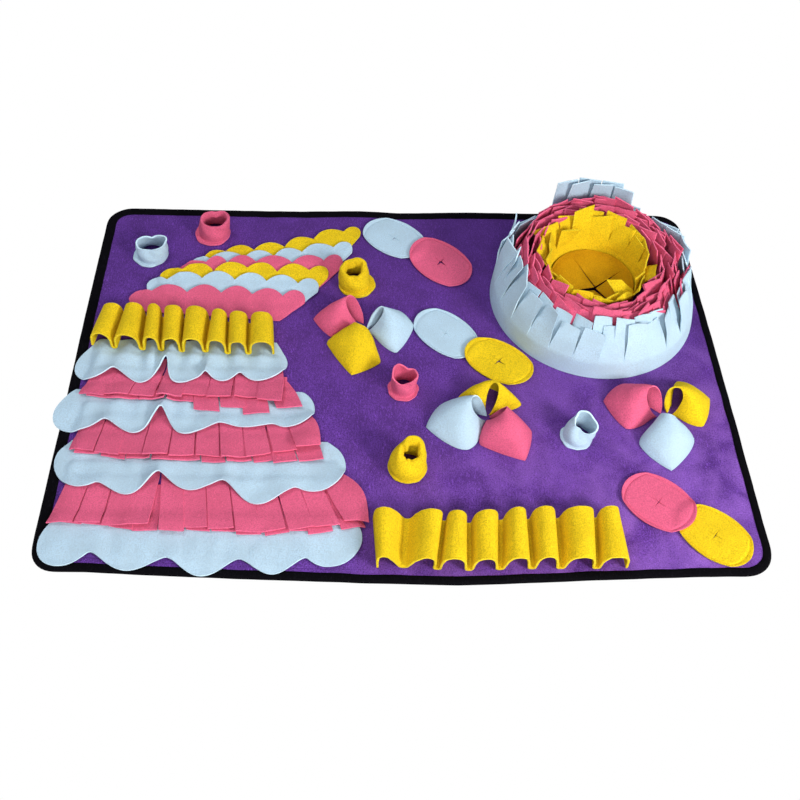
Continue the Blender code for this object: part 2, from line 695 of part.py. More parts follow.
# Unslit walls: colour, sides, first corner as a share of one side, and (outer radius, height)
# from the mat up.
BOWL_WALLS = {
    "bowl_collar_wall": ("blue", 26, 0.0, ((117.5, MAT_TOP), (116.5, 22.0))),
    "bowl_pink_wall_outer": ("pink", 22, 0.0, ((107.0, MAT_TOP), (103.5, 36.0))),
    "bowl_pink_wall_inner": ("pink", 20, 0.0, ((79.0, MAT_TOP), (80.0, 36.0))),
    "bowl_yellow_wall": ("yellow", 14, 0.0, ((50.0, MAT_TOP), (50.0, 30.0), (57.0, 50.0))),
}

# Slit rings: colour, sides, first corner, (outer radius, height) of the backing's foot, its top,
# then the stations up to the tips; how much farther out the tips stand at the back than at the
# front; how much higher; how tall the tuft of longer strips at the back is; how much tips vary.
BOWL_FRINGES = {
    "bowl_collar_fringe_outer": ("blue", 26, 0.0, ((116.5, 22.35), (116.3, 26.0), (112.0, 46.0),
                                                   (101.5, 67.0)), 5.5, 0.0, 12.0, 1.6),
    "bowl_collar_fringe_inner": ("blue", 26, 0.5, ((113.6, 14.0), (113.5, 18.0), (107.8, 46.0),
                                                   (96.0, 69.0)), 5.5, 0.0, 12.0, 1.6),
    "bowl_pink_fringe_1": ("pink", 22, 0.0, ((103.5, 36.35), (103.0, 40.0), (90.5, 68.0)),
                           5.5, 3.0, 0.0, 2.2),
    "bowl_pink_fringe_2": ("pink", 22, 0.5, ((101.1, 30.0), (100.8, 34.0), (84.5, 70.0)),
                           5.0, 3.0, 0.0, 2.2),
    "bowl_pink_fringe_3": ("pink", 20, 0.0, ((80.0, 36.35), (80.0, 40.0), (78.0, 68.0)),
                           4.0, 3.0, 0.0, 2.2),
    "bowl_pink_fringe_4": ("pink", 20, 0.5, ((76.9, 30.0), (76.9, 34.0), (72.0, 70.0)),
                           4.0, 3.0, 0.0, 2.2),
    "bowl_yellow_fringe_1": ("yellow", 14, 0.0, ((57.1, 50.35), (58.2, 54.0), (65.0, 70.0)),
                             1.5, 4.0, 0.0, 2.0),
    "bowl_yellow_fringe_2": ("yellow", 14, 0.5, ((51.2, 44.0), (52.4, 48.0), (58.0, 68.0)),
                             1.5, 4.0, 0.0, 2.0),
}
TUFT_DIRECTION = math.radians(96)
TUFT_HALF_WIDTH = math.radians(24)
BOWL_SLIT = 1.4
BOWL_SEED = 50
FLOOR_RADIUS = 46.8
FLOOR_HEIGHT = 27.5
FLOOR_SIDES = 28
FLOOR_CUT = (40.0, 40.0)
FLOOR_CUT_TURN = math.radians(35)
TIP_BEND = 1.3


def polar(radius, angle, height):
    return (BOWL_CENTRE[0] + radius * math.cos(angle), BOWL_CENTRE[1] + radius * math.sin(angle), height)


def bowl_wall(name):
    colour, sides, first, section = BOWL_WALLS[name]
    inset = FELT / math.cos(math.pi / sides)
    outer = np.zeros((sides, len(section), 3))
    inner = np.zeros((sides, len(section), 3))
    for i in range(sides):
        angle = 2 * math.pi * (i + first) / sides
        for j, (radius, height) in enumerate(section):
            outer[i, j] = polar(radius, angle, height)
            inner[i, j] = polar(radius - inset, angle, height)
    return cell_solid(name, outer, inner, colour, wrap=True)


def bowl_fringe(name, seed):
    colour, sides, first, section, back_out, back_up, tuft, vary = BOWL_FRINGES[name]
    rng = random.Random(seed)
    inset = FELT / math.cos(math.pi / sides)
    slit = BOWL_SLIT / section[0][0] / 2
    stations = len(section)
    outer = np.zeros((2 * sides, stations, 3))
    inner = np.zeros((2 * sides, stations, 3))
    tip_share = [0.0, 0.0] + [(j - 1) / (stations - 2) for j in range(2, stations)]
    # How far the tip's radius changes for each millimetre that a strip is longer.
    lean = (section[-1][0] - section[-2][0]) / (section[-1][1] - section[-2][1])
    for strip in range(sides):
        middle = 2 * math.pi * (strip + 0.5 + first) / sides
        backward = math.sin(middle)
        from_tuft = (middle - TUFT_DIRECTION + math.pi) % (2 * math.pi) - math.pi
        taller = back_up * backward + rng.uniform(-vary, vary)
        taller += tuft * math.exp(-(from_tuft / TUFT_HALF_WIDTH) ** 2)
        for side in (0, 1):
            corner = 2 * math.pi * (strip + side + first) / sides
            angle = corner + (slit if side == 0 else -slit)
            # The strip's edge lies on the flat side of the polygon, so its radius is shorter.
            flatten = math.cos(math.pi / sides) / math.cos(angle - middle)
            for j, (radius, height) in enumerate(section):
                share = tip_share[j] ** TIP_BEND
                at_tip = 1.0 if j == stations - 1 else 0.0
                r = (radius + back_out * backward * share + lean * taller * at_tip) * flatten
                z = height + taller * at_tip
                outer[2 * strip + side, j] = polar(r, angle, z)
                inner[2 * strip + side, j] = polar(r - inset * flatten, angle, z)
    filled = np.zeros((2 * sides, stations - 1), dtype=bool)
    filled[:, 0] = True
    filled[::2, :] = True
    return cell_solid(name, outer, inner, colour, filled, wrap=True)


def bowl_floor():
    outline = []
    for i in range(FLOOR_SIDES):
        x, y, _ = polar(FLOOR_RADIUS, 2 * math.pi * i / FLOOR_SIDES, 0.0)
        outline.append((x, y))
    cut = cross_outline(BOWL_CENTRE, FLOOR_CUT, FLOOR_CUT_TURN)
    return slit_plate("bowl_floor", "yellow", outline, cut, FELT, lambda px, py: FLOOR_HEIGHT)


# ---------------------------------------------------------------- the whole mat
def build():
    clear_scene()
    pieces = [base_mat(), edge_binding(), backing_panel()]
    pieces += [flap(name) for name in FLAPS]
    pieces += [fringe(name, seed) for seed, name in enumerate(FRINGES)]
    pieces += [fan_row(index) for index in range(len(FAN_ROWS))]
    pieces.append(loop_strip("loop_strip_upper", UPPER_FEET, UPPER_ARCHES, UPPER_FRONT_BASE))
    pieces.append(loop_strip("loop_strip_lower", LOWER_FEET, LOWER_ARCHES, MAT_TOP))
    pieces += [cup(*row) for row in CUPS]
    pieces += [petal(*row) for row in PETALS]
    pieces += [oval(*row) for row in OVALS]
    pieces += [bowl_wall(name) for name in BOWL_WALLS]
    pieces += [bowl_fringe(name, BOWL_SEED + index) for index, name in enumerate(BOWL_FRINGES)]
    pieces.append(bowl_floor())
    whole = bpy.data.objects.new("snuffle_mat", None)
    bpy.context.scene.collection.objects.link(whole)
    for piece in pieces:
        piece.parent = whole


build()
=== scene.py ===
"""The snuffle mat as it looks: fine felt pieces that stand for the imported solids.

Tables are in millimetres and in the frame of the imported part. A sheet of felt is a grid of
points on its middle, turned into a body of its own thickness with soft cut edges.
"""

import math
import random

import bpy
import numpy as np
from mathutils import Matrix, Vector, noise


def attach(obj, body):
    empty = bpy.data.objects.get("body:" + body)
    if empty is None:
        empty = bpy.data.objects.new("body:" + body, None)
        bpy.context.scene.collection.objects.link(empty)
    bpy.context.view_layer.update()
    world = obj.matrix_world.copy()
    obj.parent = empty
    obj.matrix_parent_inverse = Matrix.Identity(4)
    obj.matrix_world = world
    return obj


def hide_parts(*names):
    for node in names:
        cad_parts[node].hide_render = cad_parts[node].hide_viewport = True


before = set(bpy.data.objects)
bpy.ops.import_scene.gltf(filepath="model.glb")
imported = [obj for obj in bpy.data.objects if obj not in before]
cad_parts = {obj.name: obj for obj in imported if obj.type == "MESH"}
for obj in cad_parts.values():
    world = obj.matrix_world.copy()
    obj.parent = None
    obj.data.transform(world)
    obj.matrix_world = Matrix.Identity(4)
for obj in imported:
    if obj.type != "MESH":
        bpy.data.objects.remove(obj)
bpy.context.scene.view_settings.view_transform = "Standard"
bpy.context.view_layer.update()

MM = 0.001
# The space under a sheet that lies on another one.
GAP = 0.35
MAT_THICKNESS = 3.0
# The height at which a sheet lies that is sewn on the mat.
MAT_TOP = MAT_THICKNESS + GAP
# Thicknesses of the felts and the tape.
FELT = 1.5
THIN_FELT = 1.2
LOOP_FELT = 2.2
MAT_FELT = 2.4
PANEL_FELT = 0.9
TAPE = 0.5


# ---------------- numbers
# How close the points are of a line that is being rounded.
FINE_STEP = 0.5


def ramp(value, low, high):
    return np.clip((value - low) / (high - low), 0.0, 1.0)


def smooth(value):
    value = np.clip(value, 0.0, 1.0)
    return value * value * (3 - 2 * value)


def unit(vector):
    return vector / max(np.linalg.norm(vector), 1e-9)


def rotated(x, y, angle):
    return x * math.cos(angle) - y * math.sin(angle), x * math.sin(angle) + y * math.cos(angle)


def waver(x, y, scale, seed=0.0):
    """Smooth noise from -1 to 1 whose bumps are about scale across, at one point or many."""
    xs, ys = np.broadcast_arrays(np.asarray(x, float) / scale, np.asarray(y, float) / scale)
    values = [noise.noise(Vector((a, b, seed))) for a, b in zip(xs.ravel(), ys.ravel())]
    return np.array(values).reshape(xs.shape)


def lengths_along(points):
    steps = np.linalg.norm(np.diff(points, axis=0), axis=1)
    return np.concatenate([[0.0], np.cumsum(steps)])


def places_along(points, at):
    """The places at these lengths along a chain of points."""
    run = lengths_along(points)
    return np.column_stack([np.interp(at, run, points[:, k]) for k in range(points.shape[1])])


def resample(points, count):
    points = np.asarray(points, float)
    return places_along(points, np.linspace(0, lengths_along(points)[-1], count))


def bell(reach):
    """Weights for a smooth mean over reach neighbours on either side."""
    weights = np.hanning(2 * reach + 3)[1:-1]
    return weights / weights.sum()


def softened(rows, reach):
    """Smooth means down the columns of rows that run reach rows over at both ends."""
    return np.apply_along_axis(np.convolve, 0, rows, bell(reach), mode="valid")


def rounded_line(points, count, reach):
    """A chain of points with its corners rounded over reach millimetres, in count points."""
    run = lengths_along(np.asarray(points, float))[-1]
    fine = resample(points, max(int(run / FINE_STEP), 10))
    over = max(int(reach / FINE_STEP), 1)
    start = 2 * fine[0] - fine[over:0:-1]
    end = 2 * fine[-1] - fine[-2:-over - 2:-1]
    return resample(softened(np.vstack([start, fine, end]), over), count)


def ruled(seam, edge, follow, rows):
    """A grid from a sewn line to an edge; follow is how much it keeps under the edge's points."""
    x0, y0, x1, y1 = seam
    even = np.linspace(0, 1, len(edge))[:, None]
    v = np.linspace(0, 1, rows)[None, :]
    share = (1 - follow) * even + follow * ramp(edge[:, :1], edge[0, 0], edge[-1, 0])
    root_x = x0 + (x1 - x0) * share
    root_y = y0 + (y1 - y0) * even
    return root_x + (edge[:, :1] - root_x) * v, root_y + (edge[:, 1:] - root_y) * v, v


def grid(x, y, z):
    return np.stack(np.broadcast_arrays(x, y, z), axis=2)


def circle(x, y, z, radius, count):
    return [(x + radius * math.cos(a), y + radius * math.sin(a), z)
            for a in np.linspace(0, 2 * math.pi, count)]


# ---------------- materials
# Each felt: its slot and colour; how bright its darker patches, darker specks and lighter fibres
# are beside it; the strength of its pile; how much lighter its cut edge is painted, as a highlight.
FELTS = {
    "purple": ("purple_felt", (0.140, 0.046, 0.315), (0.68, 0.44, 1.85), 0.80, 1.3),
    "black": ("black_binding", (0.0030, 0.0026, 0.0038), (0.80, 0.80, 2.60), 0.50, 1.6),
    "blue": ("blue_felt", (0.480, 0.640, 0.755), (0.92, 0.86, 1.05), 0.55, 1.3),
    "pink": ("pink_felt", (0.760, 0.122, 0.232), (0.90, 0.76, 1.16), 0.55, 1.22),
    "yellow": ("yellow_felt", (0.920, 0.620, 0.012), (0.88, 0.66, 1.14), 0.90, 1.10),
    # A darker copy of the yellow: painted shade for the floor deep in the bowl.
    "painted_shade_yellow": ("yellow_felt", (0.640, 0.330, 0.003), (0.88, 0.76, 1.10), 0.90, 1.10),
}
# Each grain: scale, detail and distortion of its noise, and the values between which it comes in.
PATCHES = (34, 5, 0.0, 0.36, 0.64)
SPECKS = (760, 3, 0.0, 0.34, 0.60)
FIBRES = (900, 2, 1.4, 0.54, 0.74)
CLOUDS = (20, 5, 0.8, 0.36, 0.66)
PILE_DEPTH = 0.0004
# Painted sheen and light towards the mat's front right, painted shade at its back: the way across
# it in which they come in, the places in metres between which they do, and how they tint its colour.
PAINTED_LIGHT_WAY = ((0.80, -0.50, 0.0), -0.02, 0.36)
PAINTED_SHADE_WAY = ((-0.35, -0.80, 0.0), 0.08, -0.24)
PAINTED_LIGHT_TINT = (2.3, 2.9, 1.8)
PAINTED_SHADE_TINT = (0.5, 0.45, 0.5)


def shade(colour, factor, warm=1.0):
    r, g, b = colour
    return (min(1.0, r * factor * warm), min(1.0, g * factor), min(1.0, b * factor / warm), 1.0)


def tinted(colour, tint):
    return (*(part * share for part, share in zip(colour, tint)), 1.0)


def join(tree, value, socket):
    if isinstance(value, bpy.types.NodeSocket):
        tree.links.new(value, socket)
    else:
        socket.default_value = value


def shader_node(tree, kind, output, **inputs):
    """A node's output; inputs are named as its sockets, with _ for a space."""
    item = tree.nodes.new("ShaderNode" + kind)
    for name, value in inputs.items():
        join(tree, value, item.inputs[name.replace("_", " ")])
    return item.outputs[output]


def mix_colour(tree, factor, low, high):
    item = tree.nodes.new("ShaderNodeMix")
    item.data_type = "RGBA"
    for k, value in ((0, factor), (6, low), (7, high)):
        join(tree, value, item.inputs[k])
    return item.outputs[2]


def worked_out(tree, kind, operation, *values):
    """The output of a Math or VectorMath node with these values in its sockets."""
    item = tree.nodes.new("ShaderNode" + kind)
    item.operation = operation
    for socket, value in zip(item.inputs, values):
        join(tree, value, socket)
    return item.outputs["Value"]


def spread(tree, value, low, high):
    return shader_node(tree, "MapRange", "Result", From_Min=low, From_Max=high, Value=value)


def grain(tree, vector, kind):
    scale, detail, distortion, low, high = kind
    cloud = shader_node(tree, "TexNoise", "Fac", Scale=scale, Detail=detail,
                        Distortion=distortion, Vector=vector)
    return spread(tree, cloud, low, high)


def painted_sheen_and_shade(tree, place, face, base, specks):
    """Painted sheen and light make the mat paler towards its front right; painted shade darkens its
    back.
    """
    painted_light, flat = (spread(tree, worked_out(tree, "VectorMath", "DOT_PRODUCT", place, way), low, high)
                  for way, low, high in (PAINTED_LIGHT_WAY, PAINTED_SHADE_WAY))
    # Painted sheen and light, mottled by the clouds and the specks.
    for share in (grain(tree, place, CLOUDS), spread(tree, specks, -0.9, 1.0)):
        painted_light = worked_out(tree, "Math", "MULTIPLY", painted_light, share)
    face = mix_colour(tree, painted_light, face, tinted(base, PAINTED_LIGHT_TINT))
    # Painted shade at the mat's back, broken up by the specks.
    flat = worked_out(tree, "Math", "MULTIPLY", flat, spread(tree, specks, 1.6, -0.3))
    return mix_colour(tree, flat, face, tinted(base, PAINTED_SHADE_TINT))


def felt_material(colour, cut=False):
    name = colour + ("_painted_edge_highlight" if cut else "_cloth")
    if name in bpy.data.materials:
        return bpy.data.materials[name]
    _, base, (patch, speck, fibre), pile, painted_edge_highlight = FELTS[colour]
    # The cut edge is a lighter copy of the felt: a painted highlight.
    if cut:
        base = tuple(min(0.97, part * painted_edge_highlight + 0.012) for part in base)
    material = bpy.data.materials.new(name)
    material.use_nodes = True
    tree = material.node_tree
    surface = tree.nodes["Principled BSDF"]
    place = tree.nodes.new("ShaderNodeTexCoord").outputs["Object"]
    stretched = shader_node(tree, "Mapping", "Vector", Scale=(1.0, 0.3, 1.0),
                            Rotation=(0.0, 0.3, 0.7), Vector=place)

    specks = grain(tree, place, SPECKS)
    fibres = grain(tree, stretched, FIBRES)
    ground = mix_colour(tree, grain(tree, place, PATCHES), shade(base, patch, 1.02), shade(base, 1.06))
    grained = mix_colour(tree, specks, shade(base, speck, 1.03), ground)
    face = mix_colour(tree, fibres, grained, shade(base, fibre))
    # The mat's colour gets painted sheen towards the front right and painted shade at the back.
    if colour == "purple":
        face = painted_sheen_and_shade(tree, place, face, base, specks)

    heights = worked_out(tree, "Math", "MULTIPLY_ADD", specks, 0.6, fibres)
    normal = shader_node(tree, "Bump", "Normal", Strength=pile, Distance=PILE_DEPTH,
                         Height=heights)
    for socket, value in {
            "Base Color": face,
            "Normal": normal,
            "Roughness": 0.95,
            "Specular IOR Level": 0.04 if colour == "black" else 0.15,
            "Sheen Weight": 0.0 if colour == "black" else 0.08,
            "Sheen Roughness": 0.6,
            "Sheen Tint": shade(base, 1.6)}.items():
        join(tree, value, surface.inputs[socket])
    return material


# ---------------- sheets of felt
SHARP_ANGLE = math.radians(42)
# How far a cut edge bulges, as a share of the thickness.
EDGE_BULGE = 0.16


def sheet_normals(middle, wrap, columns):
    """Normals of the grid; where it is slit into strips, each strip of columns has its own."""
    count, rows = middle.shape[:2]
    if columns:
        strips = middle.reshape(count // columns, columns, rows, 3)
        along = np.gradient(strips, axis=1).reshape(count, rows, 3)
    elif wrap:
        along = np.roll(middle, -1, axis=0) - np.roll(middle, 1, axis=0)
    else:
        along = np.gradient(middle, axis=0)
    normals = np.cross(along, np.gradient(middle, axis=1))
    return normals / np.maximum(np.linalg.norm(normals, axis=2), 1e-9)[:, :, None]


def sheet_cells(filled, count, wrap):
    """Corners of the cells that are felt, and the sides of cells that are cut edges."""
    cells, depth = filled.shape
    rows = depth + 1
    loops = []
    rims = []
    for i, j in np.argwhere(filled):
        after = (i + 1) % count
        loop = (i * rows + j, after * rows + j, after * rows + j + 1, i * rows + j + 1)
        loops.append(loop)
        beside = ((i, j - 1), (i + 1, j), (i, j + 1), (i - 1, j))
        for start, end, (m, n) in zip(loop, loop[1:] + loop[:1], beside):
            if wrap:
                m %= cells
            if not (0 <= m < cells and 0 <= n < depth and filled[m, n]):
                rims.append((start, end))
    return loops, rims


def felt_sheet(name, middle, thickness, colour,
               nodes=None, ending="_cloth", filled=None, wrap=False, columns=None,
               relief=None):
    """A sheet of even thickness round the grid; gives its top as a grid.

    nodes are what it stands for if that isn't the node of its name, filled tells which cells are
    felt, wrap joins the first column to the last, columns is how many a strip has, and relief is
    what it lies on.
    """
    count, rows = middle.shape[:2]
    if filled is None:
        filled = np.ones((count if wrap else count - 1, rows - 1), dtype=bool)
    normals = sheet_normals(middle, wrap, columns)
    upper = middle + normals * thickness / 2
    lower = middle - normals * thickness / 2
    loops, rims = sheet_cells(filled, count, wrap)
    total = count * rows
    faces = [face for loop in loops for face in (loop, tuple(total + k for k in reversed(loop)))]

    flat_normals = normals.reshape(-1, 3)
    flat_middle = middle.reshape(-1, 3)
    outward = np.zeros((total, 3))
    for start, end in rims:
        out = unit(np.cross(flat_middle[end] - flat_middle[start], flat_normals[start]))
        outward[start] += out
        outward[end] += out
    lengths = np.linalg.norm(outward, axis=1)
    on_rim = np.flatnonzero(lengths > 1e-6)
    rim_index = {int(k): 2 * total + place for place, k in enumerate(on_rim)}
    bulge = outward[on_rim] / lengths[on_rim][:, None] * (thickness * EDGE_BULGE)
    for start, end in rims:
        if start in rim_index and end in rim_index:
            faces.append((end, start, rim_index[start], rim_index[end]))
            faces.append((rim_index[end], rim_index[start], total + start, total + end))
    points = np.vstack([upper.reshape(-1, 3), lower.reshape(-1, 3), flat_middle[on_rim] + bulge])
    piece = mesh_piece(name + ending, points * MM, faces, colour, 2 * len(loops))

    nodes = (name,) if nodes is None else nodes
    if nodes:
        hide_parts(*nodes)
    top = upper if upper[..., 2].mean() > lower[..., 2].mean() else lower
    if relief is not None:
        relief.stamp(top, filled)
    return top


def add_object(name, data):
    item = bpy.data.objects.new(name, data)
    bpy.context.scene.collection.objects.link(item)
    return item


def mesh_piece(name, points, faces, colour, face_count=None):
    """An object of the faces; those after face_count are a sheet's cut edge, painted lighter as a
    highlight.
    """
    used = sorted({int(k) for face in faces for k in face})
    new_index = {old: new for new, old in enumerate(used)}
    mesh = bpy.data.meshes.new(name)
    mesh.from_pydata([tuple(points[k]) for k in used], [],
                     [tuple(new_index[int(k)] for k in face) for face in faces])
    mesh.shade_smooth()
    mesh.set_sharp_from_angle(angle=SHARP_ANGLE)
    mesh.materials.append(felt_material(colour))
    # The faces of the cut edge get the lighter copy: a painted highlight.
    if face_count is not None:
        mesh.materials.append(felt_material(colour, cut=True))
        for polygon in mesh.polygons[face_count:]:
            polygon.material_index = 1
    piece = add_object(name, mesh)
    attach(piece, "root")
    return piece


def stitches(name, path, colour, step, length, radius):
    """Short raised threads along a chain of points, each a hexagonal rod with pointed ends."""
    path = np.asarray(path, float)
    points = []
    faces = []
    for k in range(int(lengths_along(path)[-1] / step)):
        start = (k + 0.25) * step
        ends = places_along(path, start + length * np.array((0.0, 0.3, 0.7, 1.0)))
        ahead = unit(ends[3] - ends[0])
        side = unit(np.cross(ahead, (0.0, 0.0, 1.0)))
        up = np.cross(side, ahead)
        first = len(points)
        points.append(ends[0] - up * radius)
        for place in ends[1:3]:
            for degrees in range(0, 360, 60):
                out = rotated(radius, 0.0, math.radians(degrees))
                points.append(place + side * out[0] + up * out[1])
        points.append(ends[3] - up * radius)
        last = len(points) - 1
        for corner in range(6):
            low = first + 1 + corner
            after = first + 1 + (corner + 1) % 6
            faces += [(first, after, low), (low, after, after + 6, low + 6),
                      (last, low + 6, after + 6)]
    mesh_piece(name, np.array(points) * MM, faces, colour)


# ---------------- what a sheet lies on
def bilinear(corners, a, b):
    """The value a and b of the way across a cell whose corners go round it."""
    return ((1 - a) * (1 - b) * corners[0] + a * (1 - b) * corners[1]
            + a * b * corners[2] + (1 - a) * b * corners[3])


class Relief:
    """Heights over a stretch of the mat, in cells of one millimetre."""

    def __init__(self, low, high):
        self.low = np.array(low, float)
        self.shape = (int(high[0] - low[0]) + 1, int(high[1] - low[1]) + 1)
        self.heights = np.full(self.shape, MAT_TOP)

    def stamp(self, skin, filled):
        """Raise the heights to a skin, given as a grid of points."""
        parts = (skin[:-1, :-1], skin[1:, :-1], skin[1:, 1:], skin[:-1, 1:])
        corners = [part[filled] for part in parts]
        steps = np.linspace(0, 1, 7)
        for a in steps:
            for b in steps:
                points = bilinear(corners, a, b)
                cell = np.round(points[:, :2] - self.low).astype(int)
                inside = ((cell >= 0) & (cell < self.shape)).all(axis=1)
                np.maximum.at(self.heights, tuple(cell[inside].T), points[inside, 2])

    def under(self, x, y, reach, soft):
        """Heights on which a sheet lies, bridging over reach and rounded over soft cells."""
        cover = self.heights
        for _ in range(reach):
            padded = np.pad(cover, 1, mode="edge")
            cover = np.max([padded[1:-1, 1:-1], padded[2:, 1:-1], padded[:-2, 1:-1],
                            padded[1:-1, 2:], padded[1:-1, :-2]], axis=0)
        for _ in range(2):
            cover = softened(np.pad(cover, ((soft, soft), (0, 0)), mode="edge"), soft).T
        x = np.clip(np.asarray(x, float) - self.low[0], 0, self.shape[0] - 1.001)
        y = np.clip(np.asarray(y, float) - self.low[1], 0, self.shape[1] - 1.001)
        i = x.astype(int)
        j = y.astype(int)
        corners = (cover[i, j], cover[i + 1, j], cover[i + 1, j + 1], cover[i, j + 1])
        return bilinear(corners, x - i, y - j)


# ---------------- mat and binding
MAT_LENGTH = 700.0
MAT_WIDTH = 500.0
# How far the sewn edge bows out at places along each side.
FRONT_BOW = ((-300, -8.0), (-230, -4.0), (-120, 0.6), (-29, 3.6), (45, 5.6), (100, 3.6),
             (158, 1.0), (250, -2.6), (298, -3.6))
RIGHT_BOW = ((-190, -2.4), (-60, -0.7), (60, 0.6), (205, 0.4))
BACK_BOW = ((300, 5.5), (200, 5.0), (80, 4.2), (2, 0.2), (-47, 2.8), (-120, -0.4), (-200, -1.0),
            (-300, -0.8))
LEFT_BOW = ((205, 0.0), (60, 0.5), (-60, -0.3), (-205, -0.2))
CORNER_RADII = (29.0, 26.0, 27.0, 24.0)
CORNER_STEPS = 12
# Over how many neighbours the outline is smoothed.
OUTLINE_SOFT = 11
# How far the visible felt ends inside the tape's edge, and the strip over which its wrinkles fade.
MAT_INSET = 5.0
EDGE_STRIP = (16, 9)
WRINKLES = 0.55
EDGE_DIP = 0.25
MAT_COLUMNS = 141
# Rows of the mat's grid from front to back, closer together near the edges.
MAT_ROWS = np.concatenate([np.linspace(-1, -0.86, 12)[:-1], np.linspace(-0.86, 0.86, 75),
                           np.linspace(0.86, 1, 12)[1:]])


def mat_outline(count):
    """The mat's outer edge, anticlockwise from the front left, and the outward direction."""
    half_length = MAT_LENGTH / 2
    half_width = MAT_WIDTH / 2
    runs = ([(at, -half_width - bow) for at, bow in FRONT_BOW],
            [(half_length + bow, at) for at, bow in RIGHT_BOW],
            [(at, half_width + bow) for at, bow in BACK_BOW],
            [(-half_length - bow, at) for at, bow in LEFT_BOW])
    points = []
    for index, radius in enumerate(CORNER_RADII):
        run = runs[index]
        following = runs[(index + 1) % 4]
        points += run
        if index % 2 == 0:
            apex = (following[0][0], run[-1][1])
        else:
            apex = (run[-1][0], following[0][1])
        centre = [side - math.copysign(radius, side) for side in apex]
        for step in range(CORNER_STEPS + 1):
            angle = (index - 1 + step / CORNER_STEPS) * math.pi / 2
            points.append((centre[0] + radius * math.cos(angle), centre[1] + radius * math.sin(angle)))
    loop = resample(points + points[:1], count * 4 + 1)[:-1]
    looped = np.vstack([loop[-OUTLINE_SOFT:], loop, loop[:OUTLINE_SOFT]])
    places = softened(looped, OUTLINE_SOFT)[::4]
    tangents = np.roll(places, -1, axis=0) - np.roll(places, 1, axis=0)
    normals = np.stack([tangents[:, 1], -tangents[:, 0]], axis=1)
    return places, normals / np.linalg.norm(normals, axis=1)[:, None]


def mat_top(x, y):
    """How far the mat's face dips at a place: soft wrinkles, most of them at the lower right."""
    open_side = smooth(ramp(x, -60, 60)) * smooth(ramp(-y, -120, 60))
    fine = waver(x + 0.35 * y, y * 0.45, 26.0, 3.0)
    broad = waver(x * 0.8, y * 0.5, 60.0, 8.0)
    creases = np.clip(fine * 0.5 + 0.5, 0, 1) ** 1.5 * (0.25 + 0.75 * open_side)
    return -1.1 * creases - 0.5 * (0.5 + 0.5 * broad)


def base_mat():
    places, normals = mat_outline(900)
    inside = places - normals * MAT_INSET
    low = inside[:, 1].min()
    high = inside[:, 1].max()
    middle = np.zeros((MAT_COLUMNS, len(MAT_ROWS), 3))
    for j, row in enumerate(MAT_ROWS):
        y_row = (low + high) / 2 + row * (high - low) / 2 * 0.995
        crossing = [a[0] + (b[0] - a[0]) * (y_row - a[1]) / (b[1] - a[1])
                    for a, b in zip(np.roll(inside, 1, axis=0), inside)
                    if (a[1] - y_row) * (b[1] - y_row) < 0]
        middle[:, j, 0] = np.linspace(min(crossing), max(crossing), MAT_COLUMNS)
        middle[:, j, 1] = y_row
    x, y = middle[:, :, 0], middle[:, :, 1]
    outer, inner = EDGE_STRIP
    edge = np.maximum(smooth(ramp(np.abs(x), MAT_LENGTH / 2 - outer, MAT_LENGTH / 2 - inner)),
                      smooth(ramp(np.abs(y), MAT_WIDTH / 2 - outer, MAT_WIDTH / 2 - inner)))
    dip = mat_top(x, y) * (1 - edge) * WRINKLES - EDGE_DIP * edge
    middle[:, :, 2] = MAT_THICKNESS - MAT_FELT / 2 + dip
    felt_sheet("base_mat", middle, MAT_FELT, "purple")


# The tape's section from the underside round the outer edge to the top: inset and height.
BINDING_SECTION = ((11.0, 0.1), (5.0, 0.0), (1.2, 0.1), (0.2, 0.7), (-0.3, 1.7), (0.1, 2.8),
                   (1.2, 3.5), (3.0, 3.7), (5.5, 3.75), (8.0, 3.6), (10.2, 3.35), (10.9, 3.0),
                   (10.6, 2.7))
# Points of the section: how many lie underneath, the last one of its side, the last one that
# isn't narrowed, and those whose height wavers.
TAPE_UNDER = 2
TAPE_SIDE = 6
TAPE_WIDE = 8
TAPE_WAVES = range(5, 11)
# How far the tape's seam lies inside its outer edge, and its height.
TAPE_SEAM = (9.0, 3.75)


def edge_binding():
    count = 620
    places, normals = mat_outline(count)
    middle = np.zeros((count, len(BINDING_SECTION), 3))
    around = np.arange(count) / count * 2 * math.pi
    wide = waver(np.cos(around) * 90, np.sin(around) * 90, 6.0, 1.0)
    tall = waver(np.cos(around) * 90, np.sin(around) * 90, 3.0, 5.0)
    # The tape shows less on the front and the right than on the back and the left.
    narrow = np.minimum(1 - 0.27 * smooth(ramp(-places[:, 1], 225, 243)),
                        1 - 0.28 * smooth(ramp(places[:, 0], 325, 343)))
    for j, (inset, height) in enumerate(BINDING_SECTION):
        waviness = 0.0 if j < TAPE_UNDER else 0.9 if j > TAPE_SIDE else 0.35
        reach = inset * (narrow if j > TAPE_WIDE else 1.0) + wide * waviness
        middle[:, j, :2] = places - normals * reach[:, None]
        middle[:, j, 2] = height + (tall * 0.28 if j in TAPE_WAVES else 0.0)
    felt_sheet("edge_binding", middle, TAPE, "black", ending="_tape", wrap=True)
    inset, height = TAPE_SEAM
    seam = np.column_stack([places - normals * (inset * narrow)[:, None], height + tall * 0.25])
    stitches("edge_binding_thread", seam, "black", step=4.2, length=2.8, radius=0.3)


# ---------------- the stack on the left
# The edge of the panel under the lowest flap, from the left, and the line where it is sewn.
PANEL_EDGE = ((-334, -222), (-306, -227.5), (-230, -233.5), (-120, -238.5), (-50, -240))
PANEL_SEAM_Y = -192.0
